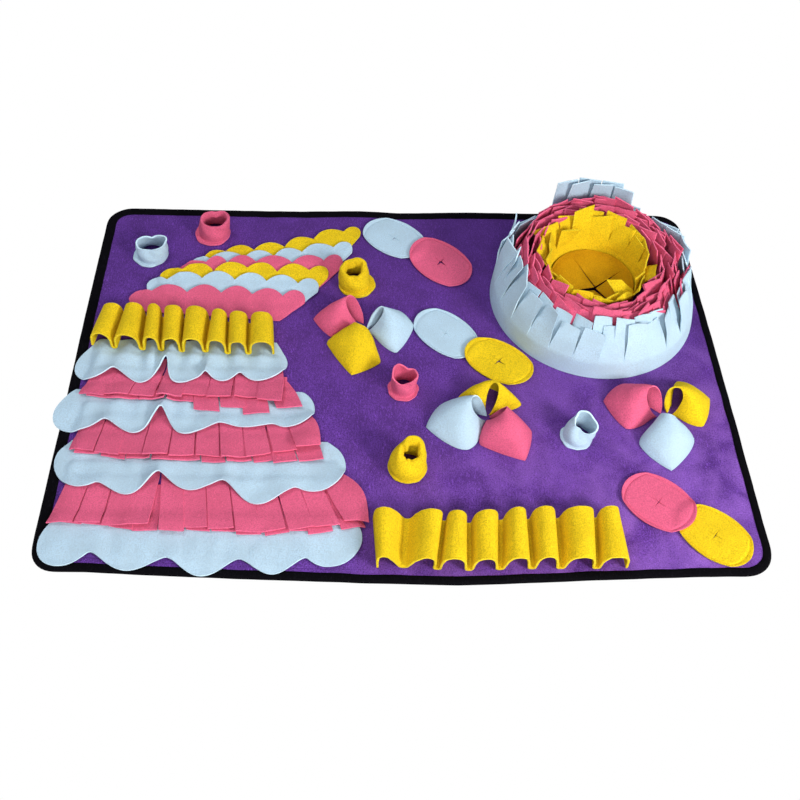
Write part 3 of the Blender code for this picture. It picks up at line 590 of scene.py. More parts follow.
# The flaps, from the lowest: the seam, how far they swell in line with the upper arches, the
# notches of the edge, the depth of the lobe after each, and the folds (x, half width, rise, how
# late they start).
FLAPS = {
    "flap_4": ((-332, -190, -52, -190), 0.3,
               ((-336, -192), (-296, -224), (-225, -230), (-159, -231), (-97, -230), (-50, -194)),
               (33, 16, 18, 16, 26),
               ((-296, 18, 1.2, 2.0), (-225, 18, 1.2, 2.0), (-97, 18, 1.2, 2.0))),
    "flap_3": ((-334, -98, -80, -98), 1.2,
               ((-338, -104), (-301, -151), (-243, -139), (-180, -148), (-109, -155), (-76, -102)),
               (25, 19, 15, 23, 31),
               ((-243, 12, 7.0, 1.6), (-180, 14, 3.5, 1.8), (-300, 16, 3.0, 1.6),
                (-120, 16, 2.5, 1.8))),
    "flap_2": ((-332, -34, -112, -34), 1.8,
               ((-341, -34), (-305, -76), (-250, -60), (-189, -79), (-134, -79), (-106, -36)),
               (40, 25, 24, 5, 26),
               ((-250, 9, 9.0, 1.5), (-302, 13, 4.0, 1.6), (-189, 12, 3.0, 1.8),
                (-150, 14, 2.5, 1.6))),
    "flap_1": ((-328, 34, -138, 34), 4.6,
               ((-340, 17), (-307, -8), (-252, 5), (-209, -16), (-173, -13), (-128, 14)),
               (29, 26, 24, 10, 23),
               ((-252, 7, 10.0, 1.4), (-306, 14, 4.5, 1.8), (-209, 5, 8.0, 1.2),
                (-172, 10, 3.0, 2.0), (-280, 9, -1.5, 1.0), (-230, 8, -1.5, 1.0))),
}
# The layers of the fringes: seam, strips, x of the tips from first to last, y of four tips along
# the row, lift of the tips, and the strips that lie apart from their row: how far the tip moves
# in x and y, how far its left and right corner lift, and how far its middle bows out in x and up.
FRINGES = {
    "fringe_3_back": ((-326, -150, -62, -150), 12, (-332, -41), (-195, -204, -207, -199), 0.4,
                      {10: (-8, -3, 0.0, 1.0, 0, 0)}),
    "fringe_3_front": ((-328, -128, -70, -128), 12, (-339, -40), (-194, -202, -206, -196), 1.4,
                       {11: (2, 2, 2.0, 2.0, 11.0, 9.0), 3: (-4, 1, 0.5, 2.0, 0, 0),
                        4: (3, -2, 2.0, 0.5, 0, 0)}),
    "fringe_2_back": ((-324, -76, -98, -76), 10, (-328, -78), (-117, -126, -128, -120), 0.5,
                      {9: (-4, -2, 0.0, 2.0, 2.0, 1.0), 8: (-6, -2, 0.0, 0.0, 0, 0)}),
    "fringe_2_front": ((-326, -54, -104, -54), 10, (-335, -84), (-115, -121, -122, -108), 1.6,
                       {9: (-3, 1, 5.0, 4.0, 6.0, 7.0), 3: (-2, -1, 1.0, 0.0, 0, 0)}),
    "fringe_1_back": ((-322, -14, -124, -14), 8, (-330, -108), (-47, -50, -60, -60), 0.5,
                      {7: (3, 0, 0.0, 2.0, 2.0, 1.0), 4: (0, -6, 0.0, 0.0, 0, 0),
                       6: (-3, -8, 0.0, 0.5, 0, 0)}),
    "fringe_1_front": ((-324, 9, -132, 9), 8, (-337, -126), (-43, -46, -46, -50), 1.6,
                       {7: (-1, -4, 1.0, 4.0, 3.0, 4.0), 3: (0, -2, 1.5, 0.0, 0, 0)}),
}
# From the bottom up: both layers of a fringe lie between two flaps.
STACK_ORDER = ("flap_4", "fringe_3_back", "fringe_3_front", "flap_3", "fringe_2_back",
               "fringe_2_front", "flap_2", "fringe_1_back", "fringe_1_front", "flap_1")
FLAP_COLUMNS = 131
LOBE_STEPS = 24
WAVE_FULLNESS = 0.7
SCALLOP_FULLNESS = 0.75
STRIP_COLUMNS = 5
STRIP_ROWS = 13
# How much of a fringe stays unslit along its seam.
FRINGE_HEM = 5.0


def round_lobe(t):
    return (1 - math.cos(math.pi * t)) / 2, math.sin(math.pi * t)


def scallop_lobe(t):
    return t, math.sin(math.pi * t) ** SCALLOP_FULLNESS


def wave_lobe(t):
    return t, ((1 - math.cos(2 * math.pi * t)) / 2) ** WAVE_FULLNESS


def lobed_edge(notches, depths, lobes, steps, outward):
    points = []
    for start, end, depth, lobe in zip(notches, notches[1:], depths, lobes):
        chord = (end[0] - start[0], end[1] - start[1])
        length = math.hypot(*chord)
        bulge = (-chord[1] / length * outward * depth, chord[0] / length * outward * depth)
        for step in range(steps):
            share, out = lobe(step / steps)
            points.append((start[0] + chord[0] * share + bulge[0] * out,
                           start[1] + chord[1] * share + bulge[1] * out))
    points.append(notches[-1])
    return points


FLAP_LOBES = (round_lobe, wave_lobe, wave_lobe, wave_lobe, round_lobe)
# Feet between the arches of the loop strips: x, y at the front and x, y at the back.
UPPER_FEET = ((-336, 25, -331, 70), (-310, 21, -306, 71), (-280, 19, -282, 70), (-260, 18, -264, 69),
              (-238, 17, -240, 67), (-213, 17, -212, 65), (-189, 15, -192, 63), (-167, 15, -169, 62),
              (-138, 15, -142, 61))
LOWER_FEET = ((-34, -239, -37, -187), (-7, -239, -2, -187), (24, -241, 33, -189), (54, -242, 57, -192),
              (83, -241, 88, -188), (113, -240, 114, -187), (140, -240, 143, -186),
              (174, -240, 180, -185), (206, -239, 204, -184))
# The height of each arch over its feet.
UPPER_ARCHES = (21, 22, 21, 21, 22, 21, 20, 20)
LOWER_ARCHES = (15, 14, 15, 15, 16, 17, 16, 15)


def flap(name, relief):
    seam, gather, notches, depths, folds = FLAPS[name]
    edge = rounded_line(lobed_edge(notches, depths, FLAP_LOBES, LOBE_STEPS, -1), FLAP_COLUMNS, 4.0)
    x, y, v = ruled(seam, edge, follow=0.5, rows=25)
    z = relief.under(x, y, reach=3, soft=4) + GAP + FELT / 2
    for fold_x, width, rise, start in folds:
        z += rise * np.exp(-((x - fold_x) / width) ** 2) * v ** start
    feet = [foot[0] for foot in UPPER_FEET]
    swell = (1 - np.cos(2 * math.pi * np.interp(x, feet, range(len(feet))))) / 2
    z += gather * swell * np.exp(-((v - 0.3) / 0.34) ** 2)
    z += (0.5 + 0.5 * waver(x, y * 0.6, 15.0, len(name) + depths[0])) * 1.9 * smooth(v * 2)
    felt_sheet(name, grid(x, y, z), FELT, "blue", relief=relief)


def fringe(name, relief, seed):
    (x0, y0, x1, y1), count, tips, tip_y, row_lift, odd = FRINGES[name]
    rng = random.Random(seed)
    rows = 2 + STRIP_ROWS
    middle = np.zeros((STRIP_COLUMNS * count, rows, 3))
    lifts = np.zeros(middle.shape[:2])
    filled = np.zeros((STRIP_COLUMNS * count - 1, rows - 1), dtype=bool)
    filled[:, 0] = True
    # The first two rows are the unslit hem, and v runs along the strips from there.
    hem = FRINGE_HEM * np.minimum(np.arange(rows) / 2, 1.0)
    v = np.maximum(np.arange(rows) - 2, 0) / (STRIP_ROWS - 1)
    slit_share = np.where(np.arange(rows) < 2, 0.9, 1.0)
    across = np.linspace(0, 1, STRIP_COLUMNS)[:, None]
    for strip in range(count):
        lift = row_lift * (0.3 + 0.7 * rng.random())
        shorter = rng.uniform(-0.5, 3.0)
        sway = rng.uniform(-1.3, 1.3)
        slope = rng.uniform(-2.6, 2.6)
        tilt = rng.uniform(-1.6, 1.6)
        move_x, move_y, lift_left, lift_right, bow_out, bow_up = odd.get(strip, (0,) * 6)
        t = (strip + across) / count
        root_x = x0 + (x1 - x0) * t
        root_y = y0 + (y1 - y0) * t
        tip_x = tips[0] + (tips[1] - tips[0]) * t + sway + move_x
        end_y = np.interp(t * 3, range(4), tip_y) + shorter + move_y + slope * (across - 0.5)
        slit = (0.45 + 0.25 * (strip % 3)) * (1 - 2 * across) * slit_share
        first = strip * STRIP_COLUMNS
        place = middle[first:first + STRIP_COLUMNS]
        place[:, :, 0] = root_x + (tip_x - root_x) * v + slit
        place[:, :, 0] += bow_out * np.sin(math.pi * v ** 0.8) * across
        place[:, :, 1] = root_y - hem + (end_y - root_y + FRINGE_HEM) * v
        corner = lift_left + (lift_right - lift_left) * across
        lifts[first:first + STRIP_COLUMNS] = (
            (lift + corner) * v ** 2 + tilt * (across - 0.5) * v
            + 0.35 * (2 * across - 1) ** 2 * v + bow_up * np.sin(math.pi * v) * across)
        filled[first:first + STRIP_COLUMNS - 1, :] = True
    ground = relief.under(middle[:, :, 0], middle[:, :, 1], reach=2, soft=3)
    middle[:, :, 2] = ground + GAP + FELT / 2 + lifts
    felt_sheet(name, middle, FELT, "pink", filled=filled, columns=STRIP_COLUMNS, relief=relief)


def backing_panel(relief):
    front = resample(PANEL_EDGE, count=61)
    v = np.linspace(0, 1, 9)[None, :]
    y = front[:, 1:] + (PANEL_SEAM_Y - front[:, 1:]) * v
    middle = grid(front[:, :1], y, MAT_TOP + PANEL_FELT / 2)
    felt_sheet("backing_panel", middle, PANEL_FELT, "purple", relief=relief)


def stack():
    relief = Relief((-366, -262), (-20, 90))
    backing_panel(relief)
    for seed, name in enumerate(STACK_ORDER, 20):
        if name in FLAPS:
            flap(name, relief)
        else:
            fringe(name, relief, seed)


# ---------------- scalloped fan rows
# From the one on top, which is nearest the front: colour, seam, the notches between the lobes.
FAN_ROWS = (
    ("pink", (-300, 79, -137, 67),
     ((-306, 96), (-282, 107), (-242, 104), (-204, 104), (-169, 102), (-134, 99), (-110, 92))),
    ("blue", (-285, 95, -125, 80),
     ((-289, 118), (-267, 125), (-227, 125), (-190, 124), (-154, 123), (-118, 120), (-96, 110))),
    ("yellow", (-268, 108, -108, 100),
     ((-276, 133), (-252, 141), (-215, 137), (-177, 143), (-143, 138), (-106, 142), (-86, 130))),
    ("pink", (-250, 120, -95, 118),
     ((-256, 144), (-225, 152), (-201, 152), (-168, 154), (-126, 154), (-89, 158), (-68, 152))),
    ("blue", (-238, 132, -85, 140),
     ((-244, 152), (-222, 160), (-182, 163), (-148, 165), (-115, 173), (-78, 182), (-57, 176))),
    ("yellow", (-222, 144, -72, 165),
     ((-229, 163), (-205, 174), (-172, 177), (-136, 183), (-102, 197), (-67, 212), (-48, 204))),
)
FAN_DEPTHS = (7.5, 10.0, 11.0, 11.0, 11.0, 14.0)
FAN_LOBES = [scallop_lobe] * 5 + [round_lobe]
FAN_STEPS = 16
FAN_COLUMNS = 121


def fan_rows():
    relief = Relief((-330, 50), (-30, 240))
    for index, (colour, seam, notches) in reversed(list(enumerate(FAN_ROWS))):
        edge = rounded_line(lobed_edge(notches, FAN_DEPTHS, FAN_LOBES, FAN_STEPS, 1), FAN_COLUMNS, 1.2)
        x, y, v = ruled(seam, edge, follow=0.0, rows=13)
        z = relief.under(x, y, reach=2, soft=3) + GAP + THIN_FELT / 2
        z += (0.5 + 0.5 * waver(x, y, 19.0, index)) * 1.3 * v ** 2 + 0.5 * v ** 3
        name = "fan_row_%d" % (index + 1)
        felt_sheet(name, grid(x, y, z), THIN_FELT, colour, relief=relief)


# ---------------- loop strips
ARCH_STEPS = 26
LOOP_ROWS = 17
# How far each arch leans to the right, and how much narrower it is at its top than at its feet.
UPPER_LEANS = (0.5, -0.6, 0.4, 0.8, -0.5, 0.6, -0.4, 0.3)
LOWER_LEANS = (-6.0, 6.5, 0.3, 0.2, 1.5, 0.0, 2.0, 0.4)
UPPER_NARROW = (0.05, 0.04, 0.03, 0.03, 0.03, 0.03, 0.03, 0.03)
LOWER_NARROW = (0.48, 0.36, 0.16, 0.22, 0.26, 0.22, 0.20, 0.10)


def loop_strip(name, feet, arches, leans, narrow, foot_half, square, more, front_base, seed):
    """A strip in arches: the smaller square is, the boxier they are; more is how much higher
    they are at the front and at the back, front_base where their feet stand at the front."""
    turn = math.pi * (1 - np.cos(math.pi * np.arange(ARCH_STEPS + 1) / ARCH_STEPS)) / 2
    lift = np.maximum(0.0, np.sin(turn)) ** square
    middle = []
    for w in np.linspace(0, 1, LOOP_ROWS):
        base = front_base + (MAT_TOP - front_base) * w
        line = []
        for index, (left, right, height) in enumerate(zip(feet, feet[1:], arches)):
            x_left, y_left = np.array(left[:2]) * (1 - w) + np.array(left[2:]) * w
            x_right, y_right = np.array(right[:2]) * (1 - w) + np.array(right[2:]) * w
            half = (x_right - x_left) / 2 - foot_half - LOOP_FELT / 2
            tall = height + 0.5 * math.sin(5 * w + index) + LOOP_FELT / 2
            tall += more[0] + (more[1] - more[0]) * w
            x = (x_right + x_left) / 2 + leans[index] * lift
            x -= half * np.cos(turn) * (1 - narrow[index] * lift)
            y = y_left + (y_right - y_left) * (x - x_left) / (x_right - x_left)
            line += zip(x, y, base + tall * lift + LOOP_FELT / 2 * (1 - lift))
        middle.append(rounded_line(line, len(line), 2.4))
    middle = np.array(middle).transpose(1, 0, 2)
    x, y, z = middle[:, :, 0], middle[:, :, 1], middle[:, :, 2]
    z += 0.35 * waver(x * 1.7 + z, y * 0.6, 9.0, seed) * ramp(z, MAT_TOP + 4, MAT_TOP + 10)
    y += 0.6 * waver(x, z * 2, 8.0, seed + 3)
    felt_sheet(name, middle, LOOP_FELT, "yellow")


# ---------------- cups
# name, colour, centre x, y, felt, tube radius, flange radius, how far the flange lies off the
# tube's centre, how far the rim rolls inward, then the rim: direction in degrees, distance from
# the centre, height.
CUPS = (
    ("cup_blue_back", "blue", -288.5, 168, 1.9, 16.8, 19.2, (-3.0, -0.5), 0.0,
     ((0, 18.0, 21.5), (30, 19.5, 21.5), (55, 15.5, 20.5), (90, 11.0, 18.0), (125, 14.0, 19.5),
      (155, 17.0, 20), (185, 17.0, 20), (215, 16.5, 20), (240, 13.0, 19.5), (270, 10.5, 18.5),
      (300, 13.5, 20), (335, 17.5, 22))),
    ("cup_pink_back", "pink", -220.5, 206, 2.2, 17.0, 20.4, (-2.4, 0.0), 1.2,
     ((0, 20.0, 26), (35, 18.5, 26), (70, 11.0, 25), (100, 10.0, 26.5), (140, 13.5, 25),
      (180, 15.5, 23), (215, 15.0, 22), (250, 13.0, 21), (285, 13.5, 20.5), (320, 18.0, 23))),
    ("cup_yellow_back", "yellow", -54, 127, 2.8, 16.4, 20.8, (3.2, -1.5), 3.0,
     ((0, 14.5, 24), (35, 15.5, 28), (60, 15.0, 29), (100, 13.5, 27), (140, 15.5, 25),
      (180, 17.0, 23), (215, 15.5, 21), (250, 13.0, 19.5), (280, 12.5, 19), (315, 13.5, 21))),
    ("cup_pink_middle", "pink", -1, -27, 1.8, 12.2, 16.2, (-0.6, -0.6), 0.0,
     ((0, 14.6, 24), (40, 14.5, 22.5), (65, 11.0, 22.0), (90, 11.0, 24.5), (120, 14.5, 28.0),
      (160, 13.5, 26), (200, 13.4, 23), (235, 11.5, 19.5), (260, 9.0, 17.5), (295, 9.0, 19.5),
      (330, 13.5, 23))),
    ("cup_yellow_front", "yellow", 0, -127, 3.0, 17.4, 18.8, (0.0, -0.6), 3.2,
     ((0, 16.5, 23), (30, 18.5, 28), (60, 18.0, 33), (85, 14.0, 35), (120, 10.0, 33),
      (160, 11.5, 28), (200, 12.5, 25), (235, 10.5, 21.5), (280, 8.5, 18), (320, 11.5, 19))),
    ("cup_blue_front", "blue", 177, -88, 1.8, 14.6, 16.4, (-1.4, 0.0), 0.0,
     ((0, 18.5, 21), (30, 15.0, 25), (60, 15.0, 28), (90, 13.5, 28), (120, 9.0, 27),
      (160, 7.5, 26), (200, 7.5, 23), (250, 4.0, 20), (300, 10.0, 17.5), (335, 17.0, 18))),
)
CUP_COLUMNS = 72
CUP_STEPS = 12
# The rolled rim: share of the roll inward, height over the rim.
RIM_ROLL = ((0.3, 0.9), (0.7, 0.6), (0.95, -1.2), (1.0, -4.0), (0.9, -8.0))


def round_curve(rows, angles):
    """Distances and heights at the angles, on a smooth closed curve near the rows."""
    turns = np.array([row[0] for row in rows], float)
    turns = np.radians(np.concatenate([turns - 360, turns, turns + 360]))
    at = angles[:, None] + np.radians(np.linspace(-16, 16, 9))
    return [np.interp(at, turns, [row[k] for row in rows] * 3) @ bell(4) for k in (1, 2)]


def cup(name, colour, x, y, felt, tube, flange, off, roll, rim):
    half = felt / 2
    rng = random.Random(int(x + y))
    phases = [rng.uniform(0, 6.28) for _ in range(4)]
    angle = 2 * math.pi * np.arange(CUP_COLUMNS) / CUP_COLUMNS
    far, high = round_curve(rim, angle)
    ragged = 0.35 * np.sin(5 * angle + phases[0]) + 0.25 * np.sin(9 * angle + phases[1])
    stations = ((flange, half), (flange - 1.2, half), (tube + 1.0, half + 0.2),
                (tube + 0.1, half + 1.3), (tube - 0.3, half + 3.0))
    middle = []

    def add(radius, level, flat=0.0):
        """A row round the cup; flat is how much of the flange's shift it has."""
        middle.append(np.column_stack([x + off[0] * flat + radius * np.cos(angle),
                                       y + off[1] * flat + radius * np.sin(angle),
                                       np.full_like(angle, MAT_TOP + level)]))

    for j, (radius, level) in enumerate(stations):
        flat = 1.0 - ramp(j, 1, 3)
        add(radius + ragged * flat, level, flat)
    for share in np.arange(1, CUP_STEPS + 1) / CUP_STEPS:
        body = tube - 0.3 + 0.7 * math.sin(math.pi * share)
        dent = 0.5 * np.sin(3 * angle + 5 * share + phases[2]) * math.sin(math.pi * share)
        radius = body + (far - half - body) * share ** 1.7 + dent
        radius += 0.25 * np.sin(7 * angle + 8 * share + phases[3]) * share
        level = half + 3.0 + (high - 3.0 - half) * share
        add(radius, level)
    crumple = 0.6 * roll * (0.35 * np.sin(4 * angle + phases[0]) + 0.3 * np.sin(7 * angle))
    for k, (inward, over) in enumerate(RIM_ROLL if roll else ()):
        reach = np.maximum(radius - inward * (roll + crumple) - 0.2 * k, 1.0)
        add(reach, level + over * min(1.0, roll / 2))
    felt_sheet(name, np.stack(middle, axis=1), felt, colour, wrap=True)
    ring = circle(x + off[0], y + off[1], MAT_TOP + felt + 0.05, flange - 1.6, 60)
    stitches(name + "_thread", ring, colour, step=3.0, length=1.9, radius=0.25)


# ---------------- petals
# name, colour, foot, top of the mouth, mouth's width, edge on the mat, then how full the hood is,
# how late it falls to the edge and how angular that edge is.
PETALS = (
    ("petal_pink_left", "pink", (-46, 64), (-61, 81, 27), 19, ((-79, 46), (-98, 71), (-79, 90)), 0.6,
     1.4, 0.6),
    ("petal_blue_left", "blue", (-38, 56), (-22, 71, 21), 13, ((-4, 84), (12, 62), (-8, 24)), 0.5,
     1.8, 0.5),
    ("petal_yellow_left", "yellow", (-43, 51), (-48, 43, 23), 22, ((-26, 9), (-56, -8), (-83, 36)),
     0.36, 2.4, 0.7),
    ("petal_yellow_middle", "yellow", (86, -59), (93, -39, 27), 13,
     ((58, -38), (86, -22), (122, -46)), 0.36, 2.0, 0.4),
    ("petal_blue_middle", "blue", (83, -65), (67, -58, 24), 24, ((60, -104), (22, -77), (44, -46)),
     0.40, 2.0, 0.1),
    ("petal_pink_middle", "pink", (87, -66), (101, -74, 27), 17,
     ((129, -82), (119, -117), (76, -98)), 0.3, 2.4, 0.65),
    ("petal_pink_right", "pink", (267, -58), (256, -42, 26), 25,
     ((231, -76), (213, -41), (236, -19)), 0.55, 1.9, 0.4),
    ("petal_yellow_right", "yellow", (281, -56), (286, -40, 24), 21,
     ((298, -14), (327, -37), (312, -72)), 0.55, 1.9, 0.4),
    ("petal_blue_right", "blue", (274, -67), (270, -76, 24), 18,
     ((298, -92), (268, -128), (242, -96)), 0.5, 2.0, 0.2),
)
PETAL_COLUMNS = 49
PETAL_ROWS = 21
# How far from the foot towards its first point the edge starts.
PETAL_HEEL = 0.22
# How pointed the mouth's arch is, how far its sides stand apart at the feet and how much more in
# the middle, and how late the hood falls to its edge.
MOUTH_POINT = 1.3
FOOT_SPREAD = 0.25
MIDDLE_SPREAD = 1.3
HOOD_EDGE = 0.8
# How far along the edge it is smoothed, and the weights for that.
EDGE_SOFT = 0.14
EDGE_WEIGHTS = ((-1.0, 1), (-0.5, 2), (0.0, 3), (0.5, 2), (1.0, 1))


def bowed(start, middle, end, t):
    pull = 2 * middle - (start + end) / 2
    return start * (1 - t) ** 2 + pull * 2 * t * (1 - t) + end * t ** 2


def straight(start, middle, end, t):
    if t < 0.5:
        return start + (middle - start) * 2 * t
    return middle + (end - middle) * (2 * t - 1)


def petal_edge(foot, sides, u, angular):
    first, corner, last = (np.array(point, dtype=float) for point in sides)
    heel = np.array(foot, dtype=float)
    if u <= 0.5:
        line = (heel + (first - heel) * PETAL_HEEL, first, corner, 2 * u)
    else:
        line = (corner, last, heel + (last - heel) * PETAL_HEEL, 2 * u - 1)
    return bowed(*line) * (1 - angular) + straight(*line) * angular


def petal_point(foot, top, width, sides, shape, u, v):
    """A place on a petal, u of the way round from foot to foot and v from mouth to mat."""
    start = np.array((*foot, MAT_TOP), dtype=float)
    lean = np.array(top, dtype=float) + (0.0, 0.0, MAT_TOP) - start
    across = unit(np.array((lean[1], -lean[0], 0.0)))
    fullness, fall, angular = shape
    arch = math.sin(math.pi * u)
    climb = arch ** MOUTH_POINT
    apart = -math.cos(math.pi * u) * (FOOT_SPREAD + MIDDLE_SPREAD * arch)
    mouth = start + lean * climb + across * width / 2 * apart
    soft = EDGE_SOFT * (1 - v ** 5)
    edge = sum(weight / 9 * petal_edge(foot, sides, min(max(u + soft * step, 0.0), 1.0), angular)
               for step, weight in EDGE_WEIGHTS)
    place = mouth + (np.array((*edge, MAT_TOP)) - mouth) * v
    rise = (climb * (1 - v) + arch ** fullness * v) * (1 - v ** fall) ** HOOD_EDGE
    place[2] = MAT_TOP + lean[2] * rise
    return place


def petal(name, colour, foot, top, width, sides, *shape):
    even = np.linspace(0, 1, PETAL_COLUMNS)
    us = 0.35 * (0.5 - 0.5 * np.cos(math.pi * even)) + 0.65 * even
    vs = np.sin(math.pi / 2 * np.linspace(0, 1, PETAL_ROWS)) ** 1.1
    inner = np.array([[petal_point(foot, top, width, sides, shape, u, v) for v in vs] for u in us])
    middle_of_base = np.array((*((np.array(foot) + sides[0] + sides[1] + sides[2]) / 4), MAT_TOP))
    outward = inner - middle_of_base
    outward /= np.linalg.norm(outward, axis=2)[:, :, None]
    middle = inner + outward * FELT / 2
    dents = waver(middle[:, :, 0] + middle[:, :, 2], middle[:, :, 1], 15.0, top[2])
    rise = ramp(middle[:, :, 2], MAT_TOP, MAT_TOP + 8)
    middle += outward * (0.8 * dents * rise)[:, :, None]
    middle[:, :, 2] = np.maximum(middle[:, :, 2], MAT_TOP + 0.1)
    felt_sheet(name, middle, FELT, colour)
    seam = []
    for u in np.linspace(0.08, 0.92, 50):
        place = petal_point(foot, top, width, sides, shape, u, 0.975)
        seam.append(place + unit(place - middle_of_base) * (FELT + 0.1))
    stitches(name + "_thread", seam, colour, step=3.0, length=1.9, radius=0.22)


# ---------------- ovals
# name, colour, centre x, y, half length, half width, direction, what it lies on, how open its
# X cut is.
OVALS = (
    ("oval_blue_back", "blue", -6, 204, 40.0, 28.5, -36.5, None, 0.4),
    ("oval_pink_back", "pink", 48, 164, 42.5, 30.0, -51.0, "oval_blue_back", 1.3),
    ("oval_blue_middle", "blue", 48, 52, 40.5, 27.5, -47.0, None, 0.1),
    ("oval_yellow_middle", "yellow", 104, 12, 39.5, 27.0, -34.6, "oval_blue_middle", 0.9),
    ("oval_yellow_front", "yellow", 296, -204, 38.0, 27.5, -43.0, None, 0.3),
    ("oval_pink_front", "pink", 247, -167, 37.5, 29.0, -39.4, "oval_yellow_front", 0.3),
)
# The lengths of both lines of an X cut.
OVAL_CUT = (20.0, 16.0)
OVAL_CUT_DIRECTION = -42.0
# 0.5 makes the outline round and less makes it squarer. Heights are kept so far round an oval.
OVAL_SQUARE = 0.45
OVAL_REACH = 110
# How far the seam and its groove lie inside the edge, and how deep the groove is.
OVAL_SEAM = 3.6
OVAL_GROOVE = 1.2
# How high each of the four points between the cuts stands.
OVAL_LIPS = (1.0, -0.3, 0.1, 0.5)
FLOOR_LIPS = (-3.4, -0.8, 0.3, 0.8)
DISC_STEPS = 24
# How far off a disc's middle lines the sides of a cut lie, as a share of the disc's radius.
CUT_SIDE = 0.001


def disc_middle(x, y, half_length, half_width, turn, cut, cut_turn, cut_width, square, lips):
    """A round or oval grid whose middle lines lie along an X cut, and the cells that are felt."""
    line = np.linspace(-1, 1, 2 * DISC_STEPS + 1)
    line = np.concatenate([line[:DISC_STEPS], [-CUT_SIDE, CUT_SIDE], line[DISC_STEPS + 1:]])
    u, v = np.meshgrid(line, line, indexing="ij")
    disc_x, disc_y = rotated(u * np.sqrt(1 - v * v * square), v * np.sqrt(1 - u * u * square), cut_turn)
    # Each of the four points is drawn back from the cut's middle.
    far_u = np.abs(u) * half_length
    far_v = np.abs(v) * half_width
    reach_u = far_u * 2 / cut[0]
    reach_v = far_v * 2 / cut[1]
    open_u = np.sign(u) * cut_width / 2 * np.exp(-far_u / 6) * np.clip(1 - reach_v, 0, 1) ** 0.6
    open_v = np.sign(v) * cut_width / 2 * np.exp(-far_v / 6) * np.clip(1 - reach_u, 0, 1) ** 0.6
    open_x, open_y = rotated(open_u, open_v, cut_turn)
    along, across = rotated(disc_x * half_length + open_x, disc_y * half_width + open_y, turn)
    middle_u = np.abs(u[:-1, :-1] + u[1:, 1:]) / 2
    middle_v = np.abs(v[:-1, :-1] + v[1:, 1:]) / 2
    filled = ~(((middle_u < 2 * CUT_SIDE) & (middle_v * half_width < cut[1] / 2))
               | ((middle_v < 2 * CUT_SIDE) & (middle_u * half_length < cut[0] / 2)))
    quarter = (u > 0).astype(int) + 2 * (v > 0).astype(int)
    lift = np.clip(1 - reach_u - reach_v, 0, 1) ** 1.2 * np.array(lips)[quarter]
    return x + along, y + across, filled, lift, np.maximum(np.abs(u), np.abs(v))


def oval(name, colour, x, y, half_length, half_width, direction, carrier, gape, reliefs):
    px, py, filled, lift, edge_share = disc_middle(
        x, y, half_length, half_width, math.radians(direction), OVAL_CUT,
        math.radians(OVAL_CUT_DIRECTION - direction), 0.6 + gape, OVAL_SQUARE,
        [gape * part for part in OVAL_LIPS])
    relief = reliefs.get(carrier) or Relief((x - OVAL_REACH, y - OVAL_REACH),
                                            (x + OVAL_REACH, y + OVAL_REACH))
    reliefs[name] = relief
    z = relief.under(px, py, reach=3, soft=7) + GAP * (carrier is not None) + FELT / 2
    z += (0.5 + 0.5 * waver(px, py, 24.0, half_length)) * 1.1 + lift
    radius = (half_length + half_width) / 2
    inset = (1 - edge_share) * radius
    z -= OVAL_GROOVE * np.exp(-((inset - OVAL_SEAM) / 0.9) ** 2)
    z += 0.6 * np.exp(-((inset - 0.8) / 1.6) ** 2)
    top = felt_sheet(name, grid(px, py, z), FELT, colour, filled=filled, relief=relief)
    # The seam follows the grid's lines that lie in the groove.
    index = int(round(OVAL_SEAM / radius * DISC_STEPS))
    last = len(top) - 1 - index
    ring = np.vstack([top[index:last, index], top[last, index:last],
                      top[last:index:-1, last], top[index, last:index - 1:-1]])
    stitches(name + "_thread", ring + (0.0, 0.0, 0.12), colour, step=3.2, length=2.1, radius=0.3)


# ---------------- bowl
BOWL_CENTRE = (220.0, 107.5)
# The yellow well stands a little back and to the left.
WELL_SHIFT = (-4.0, 4.0)
# The tuft at the collar's back: its direction, half its width in degrees, how far it rises and
# leans out.
TUFT_DIRECTION = 85.0
TUFT_HALF_WIDTH = 22.0
TUFT_RISE = 20.0
TUFT_LEAN = 4.0
# How much lower the collar is behind, beside the tuft, and in front.
COLLAR_BACK_LOWER = 11.0
COLLAR_FRONT_LOWER = 6.0
